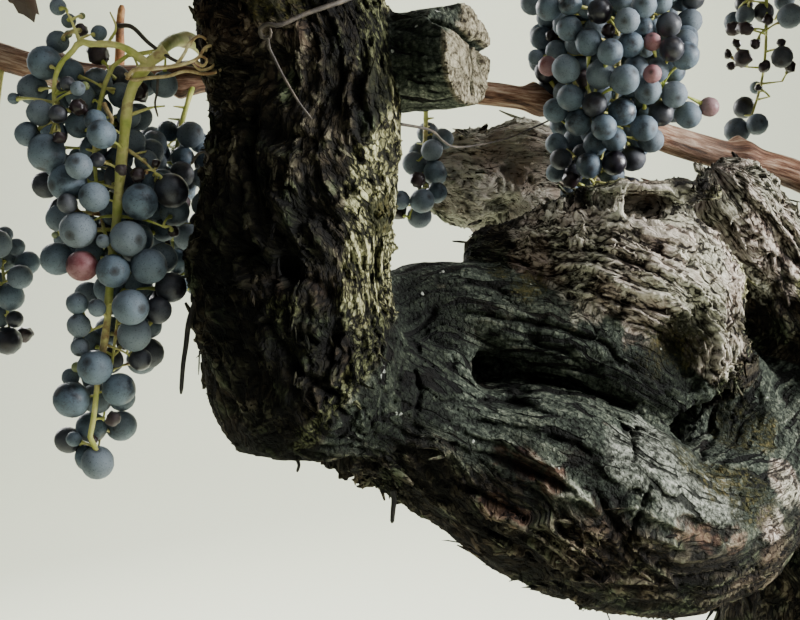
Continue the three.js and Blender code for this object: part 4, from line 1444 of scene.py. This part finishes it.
def stem_of(label):
    """A bunch's stalks, as smooth lines with their half thickness: the front bunch's own, and for the
    others one down the middle with short arms to all sides."""
    stations = np.array(BUNCHES[label], float)
    middle = resampled(stations[:, :3] * MM, 30)
    if label == "bunch_front":
        lines = [(resampled(seen(*np.array(route).T, depth), LINE_POINTS), thick / 2 * MM)
                 for thick, depth, route in FRONT_STALKS]
        return [*lines, (middle, 1.1 * MM)]
    rng = np.random.default_rng(len(label))
    lines = [(middle, 1.5 * MM)]
    for k in range(4, 28, 2):
        radius = girth_at(BUNCHES[label], middle[k, 2])[2]
        turn = rng.uniform(0, 2 * np.pi)
        way = np.array([math.cos(turn), math.sin(turn), 0.1])
        lines.append((resampled(middle[k] + np.outer([0, 0.3, 0.6], way) * radius, LINE_POINTS), 0.8 * MM))
    return lines


# Rings and sides of a berry's mesh, and a berry's own stalk: its half thickness in mm on its way from
# the forked stalk to the berry, where it widens.
NEAR_BERRY, FAR_BERRY = (10, 16), (7, 12)
STALK_HALVES = (0.75, 0.6, 0.55, 0.7, 1.25)
SEEN_BERRIES = {"bunch_front": FRONT_BERRIES, "bunch_upper": UPPER_BERRIES, "bunch_rear": REAR_BERRIES}


def put_skins(piece, skins, faces):
    """Gives each copy of a shape in a piece the skin of its number."""
    numbers = [np.repeat(skins, len(part) // len(skins)) for part in faces]
    piece.data.polygons.foreach_set("material_index", np.concatenate(numbers).astype(np.int32))


def joined(one, two):
    """Two sets of tubes as the points and faces of one mesh."""
    (one_points, one_faces), (two_points, two_faces) = one, two
    faces = [np.vstack([a, b + len(one_points)]) for a, b in zip(one_faces, two_faces)]
    return np.vstack([one_points, two_points]), faces


for k, label in enumerate(BUNCHES):
    rng = np.random.default_rng(BUNCH_SEED + k)
    full = THINNED.get(label, FULL)
    places, radii, kinds = pack_bunch(BUNCHES[label], SEEN_BERRIES.get(label, []), full, rng)
    lines = stem_of(label)
    stem_points = np.vstack([line for line, _ in lines])
    gap = np.linalg.norm(places[:, None] - stem_points[None] - (0, 0, 3 * MM), axis=2)
    joins = stem_points[gap.argmin(1)]
    rings, sides = NEAR_BERRY if label == "bunch_front" else FAR_BERRY
    points, faces, tall = berry_mesh(places, radii, kinds, joins, rings, sides, WRINKLE_SEED + k)
    piece = new_piece(label + "_berries", points, faces, *BERRY_SKINS.values())
    put_skins(piece, [list(BERRY_SKINS).index(kind) for kind in kinds], faces)
    give(piece, height=tall, own=np.repeat(rng.uniform(0, 1, len(places)), len(tall) // len(places)))
    put_on(piece, "grape_skin", label)
    share = np.linspace(0, 1, len(STALK_HALVES))[None, :, None]
    out = places - joins
    bow = np.cross(out, (0, 0, 1)) * rng.uniform(-0.25, 0.25, (len(out), 1))
    tips = joins + out * np.maximum(1 - 0.9 * radii / np.linalg.norm(out, axis=1), 0.1)[:, None]
    paths = joins[:, None] * (1 - share) + tips[:, None] * share
    paths = paths + (bow[:, None] + (0, 0, 1.5 * MM)) * share * (1 - share) * 2
    stalks = tubes(paths, np.repeat(np.array(STALK_HALVES)[None] * MM, len(paths), 0), 6)
    thinning = np.linspace(1, 0.3, LINE_POINTS) ** 0.8
    halves = np.stack([half * thinning * rng.uniform(0.9, 1.15, LINE_POINTS) for _, half in lines])
    forks = tubes(np.stack([resampled(line, LINE_POINTS) for line, _ in lines]), halves, 9)
    put_on(new_piece(label + "_stalks", *joined(stalks, forks), stalk_skin), "green_stalk", label)

# The green shoot that carries the front bunch comes off the cane to the bunch's stalk.
FRUIT_SHOOT = [(-334, -16, 862, 4.2), (-341, -50, 874, 3.8), (-346, -84, 872, 3.2), (-349, -114, 862, 2.6)]
SHOOT_STEPS = 40
line = resampled(np.array(FRUIT_SHOOT)[:, :3] * MM, SHOOT_STEPS)
girth = np.interp(np.linspace(0, 3, SHOOT_STEPS), range(4), np.array(FRUIT_SHOOT)[:, 3]) * MM
girth *= 1 + 0.22 * np.exp(-((np.linspace(0, 1, SHOOT_STEPS) - 0.55) / 0.06) ** 2)
girth *= np.sqrt(np.clip(np.arange(SHOOT_STEPS, 0, -1) / 5, 0.1, 1))
points, faces = tubes(line[None], girth[None], 14)
put_on(new_piece("fruit_shoot_skin", points, faces, stalk_skin), "green_stalk", "fruit_shoot")

# Tendrils and small dead twigs: wiry, brown, some curled in rings where they held on to something.
# Each has its thickness in mm and its route: column and row in the photograph and depth in metres.
TENDRILS = [
    (2.3, [(386, -10, 0.492), (362, -6, 0.468), (340, 2, 0.456), (305, 14, 0.45), (280, 25, 0.447),
        (268, 24, 0.447), (260, 29, 0.449), (263, 38, 0.452), (271, 36, 0.451), (270, 28, 0.449)]),
    (1.3, [(268, 36, 0.451), (269, 47, 0.454), (275, 60, 0.456), (282, 74, 0.457), (290, 88, 0.457),
        (300, 104, 0.458), (312, 119, 0.462)]),
    (1.3, [(400, 124, 0.505), (430, 130, 0.53), (443, 141, 0.545), (455, 147, 0.556), (478, 145, 0.57),
        (505, 139, 0.58), (535, 127, 0.59), (562, 114, 0.596)]),
    (1.2, [(192, 163, 0.487), (197, 155, 0.481), (204, 152, 0.478), (208, 157, 0.478), (206, 163, 0.48)]),
    (2.0, [(118, 26, 0.494), (132, 27, 0.49), (150, 44, 0.488), (174, 60, 0.486), (194, 66, 0.485)]),
    (1.2, [(158, 74, 0.484), (157, 92, 0.483), (155, 104, 0.483), (158, 117, 0.484)]),
]
# Shreds of dead bark that hang from the front arm and the limb.
SHREDS = [
    (2.6, [(196, 300, 0.489), (189, 322, 0.487), (186, 345, 0.486), (183, 366, 0.486),
        (181, 394, 0.487)]),
    (2.8, [(393, 490, 0.515), (394, 500, 0.515), (393, 511, 0.514), (392, 523, 0.514)]),
    (1.8, [(296, 452, 0.5), (297, 459, 0.499), (299, 465, 0.498), (297, 472, 0.498)]),
]
# Dried strands, pale as straw: tendrils that held the bunch's stalk to the arm, and the orange-brown
# stub of a pruned shoot on the cane.
STRAWS = [
    (1.7, [(127, 79, 0.487), (134, 70, 0.484), (150, 69, 0.482), (168, 67, 0.481), (184, 64, 0.479),
        (198, 58, 0.478), (205, 48, 0.479), (214, 46, 0.482), (219, 55, 0.484), (212, 67, 0.482),
        (200, 70, 0.48), (193, 64, 0.479)]),
    (1.6, [(126, 74, 0.49), (133, 80, 0.486), (148, 78, 0.484), (168, 76, 0.482), (186, 71, 0.48),
        (204, 74, 0.479), (219, 71, 0.481), (227, 62, 0.485), (226, 51, 0.489)]),
    (1.5, [(176, 66, 0.481), (184, 54, 0.479), (190, 43, 0.478), (199, 36, 0.48), (208, 42, 0.483),
        (206, 52, 0.484)]),
    (1.3, [(196, 62, 0.479), (203, 66, 0.477), (207, 60, 0.477), (200, 56, 0.478), (195, 60, 0.48)]),
    (2.2, [(104, 104, 0.486), (108, 112, 0.484), (112, 119, 0.484), (110, 127, 0.486)]),
]
DEAD_SPUR = [(5.4, [(119, 74, 0.6), (120, 50, 0.597), (120, 26, 0.594), (122, 5, 0.592)])]


def thread_skin(name, dark, middle, light):
    """Dry, mottled skin of thin strands."""
    material, _, shader, place = new_skin(name, 0.7)
    colour = ramp(noise_node(place, 160, 4), (0.35, *dark), (0.52, *middle), (0.68, *light))
    finish(shader, colour, noise_node(place, 900, 3), 0.0003, 0.8)
    return material


twig_skin = thread_skin("dead twig", (0.016, 0.011, 0.008), (0.042, 0.032, 0.022), (0.105, 0.08, 0.055))
straw_skin = thread_skin("dry straw", (0.22, 0.12, 0.045), (0.54, 0.42, 0.19), (0.74, 0.64, 0.38))
spur_skin = thread_skin("dead spur", (0.1, 0.04, 0.015), (0.36, 0.16, 0.055), (0.55, 0.32, 0.14))
shred_skin = thread_skin("bark shred", (0.006, 0.005, 0.004), (0.016, 0.013, 0.009), (0.05, 0.042, 0.03))
STRAND_STEPS = 48
STRANDS = {"tendrils": (TENDRILS, twig_skin, "green_stalk"), "straws": (STRAWS, straw_skin, "green_stalk"),
           "shreds": (SHREDS, shred_skin, "old_bark"), "dead_spur": (DEAD_SPUR, spur_skin, "cane_bark")}
for label, (strands, skin, slot) in STRANDS.items():
    paths = np.stack([resampled(seen(*np.array(route).T), STRAND_STEPS) for _, route in strands])
    thins = np.array([thick for thick, _ in strands])[:, None] * np.linspace(0.55, 0.36, STRAND_STEPS) * MM
    thins = thins * np.sqrt(np.clip(np.arange(STRAND_STEPS, 0, -1) / 4, 0.1, 1))
    put_on(new_piece(label, *tubes(paths, thins, 8), skin), slot)

# The crown: shoots grow from the heads of the arms and the ends of the canes, fork, and carry a leaf
# at each node on alternate sides. Autumn has turned the leaves shoot by shoot.
MASSES = {
    "foliage_front": ((-280, -86, 1258), (146, 168, 205), (-266, -44, 1080)),
    "foliage_left": ((-512, 4, 1200), (148, 182, 205), (-552, -28, 1043)),
    "foliage_back": ((-215, 262, 1245), (205, 165, 205), (-196, 210, 1108)),
    "foliage_right": ((205, -20, 1205), (180, 190, 250), (246, -12, 1038)),
    "foliage_rear": ((115, 290, 1215), (175, 165, 225), (122, 226, 1044)),
    "foliage_top": ((-20, 62, 1330), (165, 165, 240), (56, 60, 1086)),
}
SHOOTS, SIDE_SHOOTS = 15, 4
SIDE_NODES, SIDE_LENGTH = (4, 13), 0.19
NODES_APART = 40 * MM
REACH = 0.95
LEAF_SIZE = 54 * MM
LEAF_STALKS = (26, 44)
SHOOT_POINTS = 16
SHOOT_HALVES = ((3.6, 1.3), (2.0, 0.9))
STALK_HALF = 0.9 * MM
CROWN_SEED = 400


def curve(start, bend, end, count):
    """A quadratic from start to end drawn towards bend, as count points: (1-t)^2 a + 2t(1-t) b + t^2 c."""
    t = np.linspace(0, 1, count)[None, :, None]
    return (1 - t) ** 2 * start[:, None] + 2 * t * (1 - t) * bend[:, None] + t ** 2 * end[:, None]


def grow(middle, half, start, rng):
    """The shoots of one mass: the first ones from the wood's end to all sides of the mass, and side
    shoots from each at nodes of it, with the number of the shoot that each belongs to."""
    way = unit(rng.normal(size=(SHOOTS, 3)))
    way[:, 2] = np.abs(way[:, 2]) * 1.3 - 0.55
    ends = middle + way * half * REACH * rng.uniform(0.6, 1.1, (SHOOTS, 1))
    starts = start + rng.normal(size=(SHOOTS, 3)) * 5 * MM
    bends = (starts + ends) / 2 + (0, 0, 0.09) + rng.normal(size=(SHOOTS, 3)) * 25 * MM
    main = curve(starts, bends, ends, SHOOT_POINTS)
    from_node = rng.integers(*SIDE_NODES, (SHOOTS, SIDE_SHOOTS))
    side_starts = main[np.arange(SHOOTS)[:, None], from_node].reshape(-1, 3)
    aim = unit(rng.normal(size=(len(side_starts), 3)))
    side_ends = middle + aim * half * REACH * rng.uniform(0.5, 1.1, (len(aim), 1))
    far = side_ends - side_starts
    length = np.linalg.norm(far, axis=1, keepdims=True)
    side_ends = side_starts + far * np.minimum(1, SIDE_LENGTH / length)
    side_bends = (side_starts + side_ends) / 2 + (0, 0, 0.03) + rng.normal(size=side_ends.shape) * 14 * MM
    side = curve(side_starts, side_bends, side_ends, SHOOT_POINTS)
    return main, side, np.repeat(np.arange(SHOOTS), SIDE_SHOOTS)


def nodes_on(lines, owners, rng):
    """Where the leaves stand: a place every NODES_APART along each line, the line's direction there,
    the side they stand on and the shoot they belong to."""
    nodes = []
    for line, owner in zip(lines, owners):
        length = length_along(line)
        at = np.arange(NODES_APART * rng.uniform(0.6, 1.4), length[-1] + 1e-6, NODES_APART)
        at = np.r_[at, length[-1]]
        ways = straight_between(at, length, np.gradient(line, axis=0))
        sides = np.where(np.arange(len(at)) % 2, 1.0, -1.0)
        nodes.append((straight_between(at, length, line), ways, sides, np.full(len(at), owner)))
    return [np.concatenate(part) for part in zip(*nodes)]


# Half the outline of a vine leaf: degrees from its tip round its stalk's end, and distance from there
# as a share of its length. It has a tip, two lobes and a basal lobe on each side.
LEAF_OUTLINE = [
    (0, 1.0), (12, 0.86), (24, 0.72), (38, 0.84), (52, 0.95), (66, 0.8), (80, 0.66), (98, 0.74), (116, 0.8),
    (136, 0.68), (154, 0.54), (168, 0.24),
]


def leaf_shape():
    """A flat leaf's points (across, along) and faces: its outline, the same at half size, and the end
    of its stalk."""
    angle, reach = np.array(LEAF_OUTLINE).T
    angle = np.radians(np.r_[-angle[:0:-1], angle])
    reach = np.r_[reach[:0:-1], reach]
    outer = np.stack([np.sin(angle) * reach, np.cos(angle) * reach], 1)
    count = len(outer)
    points = np.vstack([outer, outer * 0.52, (0, 0)])
    k = np.arange(count - 1)
    quads = np.stack([k, k + count, k + count + 1, k + 1], 1)
    tris = np.stack([k + count, np.full(count - 1, 2 * count), k + count + 1], 1)
    return points, [quads, tris]


def leaf_mesh(places, tips, faces_up, sizes, rng):
    """All leaves of a mass: each lies along its tip's direction, folded up a little along its middle,
    curled down at its rim and rippled."""
    shape, faces = leaf_shape()
    across = unit(np.cross(tips, faces_up))
    up = np.cross(across, tips)
    u, v = shape[:, 0][None], shape[:, 1][None]
    count = (len(places), 1)
    fold, curl = rng.uniform(0.05, 0.4, count), rng.uniform(0.05, 0.45, count)
    height = rng.uniform(0.02, 0.1, count)
    ripple = height * np.cos(np.arctan2(u, v) * rng.integers(3, 7, count) + rng.uniform(0, 6, count))
    w = fold * np.abs(u) - curl * (u ** 2 + v ** 2) * 0.6 + ripple * np.hypot(u, v)
    local = u[..., None] * across[:, None] + v[..., None] * tips[:, None] + w[..., None] * up[:, None]
    points = places[:, None] + local * sizes[:, None, None]
    blade = np.tile(np.column_stack([shape, np.zeros(len(shape))]), (len(places), 1))
    return points.reshape(-1, 3), copied(faces, len(places), len(shape)), blade


# Veins: five lines from the stalk's end to the lobes, for every colour of leaf.
VEIN_DEGREES = (0, 52, 116)
VEIN_HALF = 0.022
veins, entry, leaving = new_group("veins", {"Blade": None}, ("Vein", "Rim"))
split = outputs(veins, "ShaderNodeSeparateXYZ", {0: entry["Blade"]})
beside = abs(split["X"])
lines = []
for degrees in VEIN_DEGREES:
    sine, cosine = math.sin(math.radians(degrees)), math.cos(math.radians(degrees))
    off = abs(beside * cosine - split["Y"] * sine)
    ahead = beside * sine + split["Y"] * cosine
    lines.append(worked("LESS_THAN", off, VEIN_HALF) * worked("GREATER_THAN", ahead, 0))
feed(leaving["Vein"], worked("MAXIMUM", worked("MAXIMUM", *lines[:2]), lines[2]))
feed(leaving["Rim"], vector_node("LENGTH", entry["Blade"], take=1))


def leaf_skin(name, colour_one, colour_two, rim, paler=0.45):
    """One autumn colour of leaf: mottled, with veins paler by a share and a browner rim."""
    material, tree, shader, place = new_skin(name, 0.6, 0.2)
    vein = grouped(tree, veins, Blade=attribute(tree, "blade", 1))
    colour = mixed(mask(noise_node(place, 55, 4), 0.4, 0.62), colour_one, colour_two)
    dried = vein["Rim"] + noise_node(place, 90, 3) * 0.8
    colour = mixed(mask(dried, 0.95, 1.0, high=0.8), colour, rim)
    colour = mixed(vein["Vein"] * paler, colour, (0.32, 0.29, 0.11))
    finish(shader, colour, noise_node(place, 260, 3) - vein["Vein"], 0.0006, 0.6)
    return material


LEAF_SKINS = [
    leaf_skin("yellow green leaf", (0.12, 0.14, 0.016), (0.21, 0.19, 0.024), (0.13, 0.06, 0.016)),
    leaf_skin("yellow leaf", (0.29, 0.19, 0.022), (0.36, 0.26, 0.04), (0.16, 0.06, 0.016)),
    leaf_skin("dull green leaf", (0.042, 0.072, 0.013), (0.085, 0.11, 0.022), (0.12, 0.07, 0.018)),
    leaf_skin("amber leaf", (0.23, 0.095, 0.016), (0.28, 0.145, 0.028), (0.085, 0.034, 0.011)),
    leaf_skin("brown leaf", (0.09, 0.042, 0.019), (0.14, 0.072, 0.033), (0.05, 0.024, 0.012)),
]
withered_skin = leaf_skin("withered leaf", (0.032, 0.014, 0.007), (0.08, 0.036, 0.017),
                          (0.016, 0.008, 0.005), 0.02)
LEAF_SHARES = [0.32, 0.22, 0.24, 0.14, 0.08]

for k, (label, (middle, half, start)) in enumerate(MASSES.items()):
    rng = np.random.default_rng(CROWN_SEED + k)
    middle, half, start = (np.array(value) * MM for value in (middle, half, start))
    main, sides, owners = grow(middle, half, start, rng)
    places, ways, hands, shoots = nodes_on([*main, *sides], [*range(SHOOTS), *owners], rng)
    outward = unit((places - middle) / half)
    aside = unit(np.cross(ways, (0, 0, 1)) + rng.normal(size=places.shape) * 0.002) * hands[:, None]
    stalk_way = unit(aside + 0.5 * outward + (0, 0, 0.35) + 0.25 * rng.normal(size=places.shape))
    stalk_end = places + stalk_way * rng.uniform(*LEAF_STALKS, (len(places), 1)) * MM
    limit = np.linalg.norm((stalk_end - middle) / half, axis=1)
    inward = np.minimum(1, rng.uniform(0.84, 1.08, len(places)) / limit)[:, None]
    stalk_end = middle + (stalk_end - middle) * inward
    tips = unit(0.7 * stalk_way + (0, 0, -0.75) + 0.35 * rng.normal(size=places.shape))
    face_up = unit(outward + (0, 0, 0.8) + 0.3 * rng.normal(size=places.shape))
    sizes = LEAF_SIZE * rng.uniform(0.5, 1.2, len(places))
    points, faces, blade = leaf_mesh(stalk_end, tips, face_up, sizes, rng)
    tints = rng.choice(len(LEAF_SKINS), SHOOTS, p=LEAF_SHARES)[shoots]
    piece = new_piece(label + "_leaves", points, faces, *LEAF_SKINS)
    put_skins(piece, tints, faces)
    give(piece, blade=blade)
    put_on(piece, "autumn_leaf", label)
    thick = np.concatenate([np.repeat(np.linspace(*ends, SHOOT_POINTS)[None], len(part), 0)
                            for ends, part in zip(SHOOT_HALVES, (main, sides))]) * MM
    stalk_bend = (places + stalk_end) / 2 + (0, 0, 3 * MM)
    paths = curve(places, stalk_bend, stalk_end, 4)
    stalks = tubes(paths, np.full(paths.shape[:2], STALK_HALF), 4)
    twigs = joined(tubes(np.concatenate([main, sides]), thick, 5), stalks)
    put_on(new_piece(label + "_twigs", *twigs, twig_skin), "cane_bark", label)

# One withered leaf hangs from a dead side shoot at the left. It has dried on the vine: drawn together
# like a half closed hand, crumpled, and torn along its rim.
WITHERED_SHOOT = [(-552, -28, 1043), (-510, -12, 1012), (-470, -4, 980), (-453, -2, 944)]
WITHERED_SIZE = 50 * MM
WITHERED_RINGS, WITHERED_TURNS = 14, 90


def withered_blade():
    """The leaf's outline, torn by noise, as rings from its stalk's end to its rim: across and along as
    a share of its length, and the same drawn in to 0.6 of its width, folded by 0.5 of the distance from
    its middle line, closed by 0.55 of the distance's square and crumpled by noise."""
    angle = np.linspace(-166, 166, WITHERED_TURNS)
    rim = single(np.stack([angle / 10, 0 * angle, 0 * angle], 1))
    torn = 1 + 0.2 * noise(rim, 1, 71) + 0.1 * noise(rim, 0.4, 72)
    reach = np.interp(np.abs(angle), *np.array(LEAF_OUTLINE).T) * torn
    share = np.linspace(0.03, 1, WITHERED_RINGS)[:, None]
    sine, cosine = np.sin(np.radians(angle)), np.cos(np.radians(angle))
    flat = np.stack([sine * reach * share, cosine * reach * share, 0 * reach * share], -1).reshape(-1, 3)
    fine = single(flat)
    crumpled = 0.2 * noise(fine, 0.35, 73) + 0.1 * noise(fine, 0.15, 74)
    u, v = flat[:, 0], flat[:, 1]
    closed = 0.5 * np.abs(u) + 0.55 * (u ** 2 + v ** 2) + crumpled
    bent = np.stack([0.6 * u + 0.1 * noise(fine, 0.3, 75), v + 0.08 * noise(fine, 0.25, 76), closed], 1)
    return flat, bent


dead_shoot = resampled(np.array(WITHERED_SHOOT) * MM, 24)
blade, bent = withered_blade()
down = unit(np.array([0.28, 0.1, -0.95]))
aside = unit(np.cross(down, (-0.55, 1, 0.2)))
points = dead_shoot[-1] + WITHERED_SIZE * bent @ np.stack([aside, down, np.cross(aside, down)])
piece = new_piece("withered_leaf", points, grid_faces(WITHERED_RINGS, WITHERED_TURNS), withered_skin)
give(piece, blade=blade)
put_on(piece, "autumn_leaf")
twig = tubes(dead_shoot[None], np.linspace(2.4, 1, len(dead_shoot))[None] * MM, 8)
put_on(new_piece("withered_twig", *twig, twig_skin), "cane_bark")
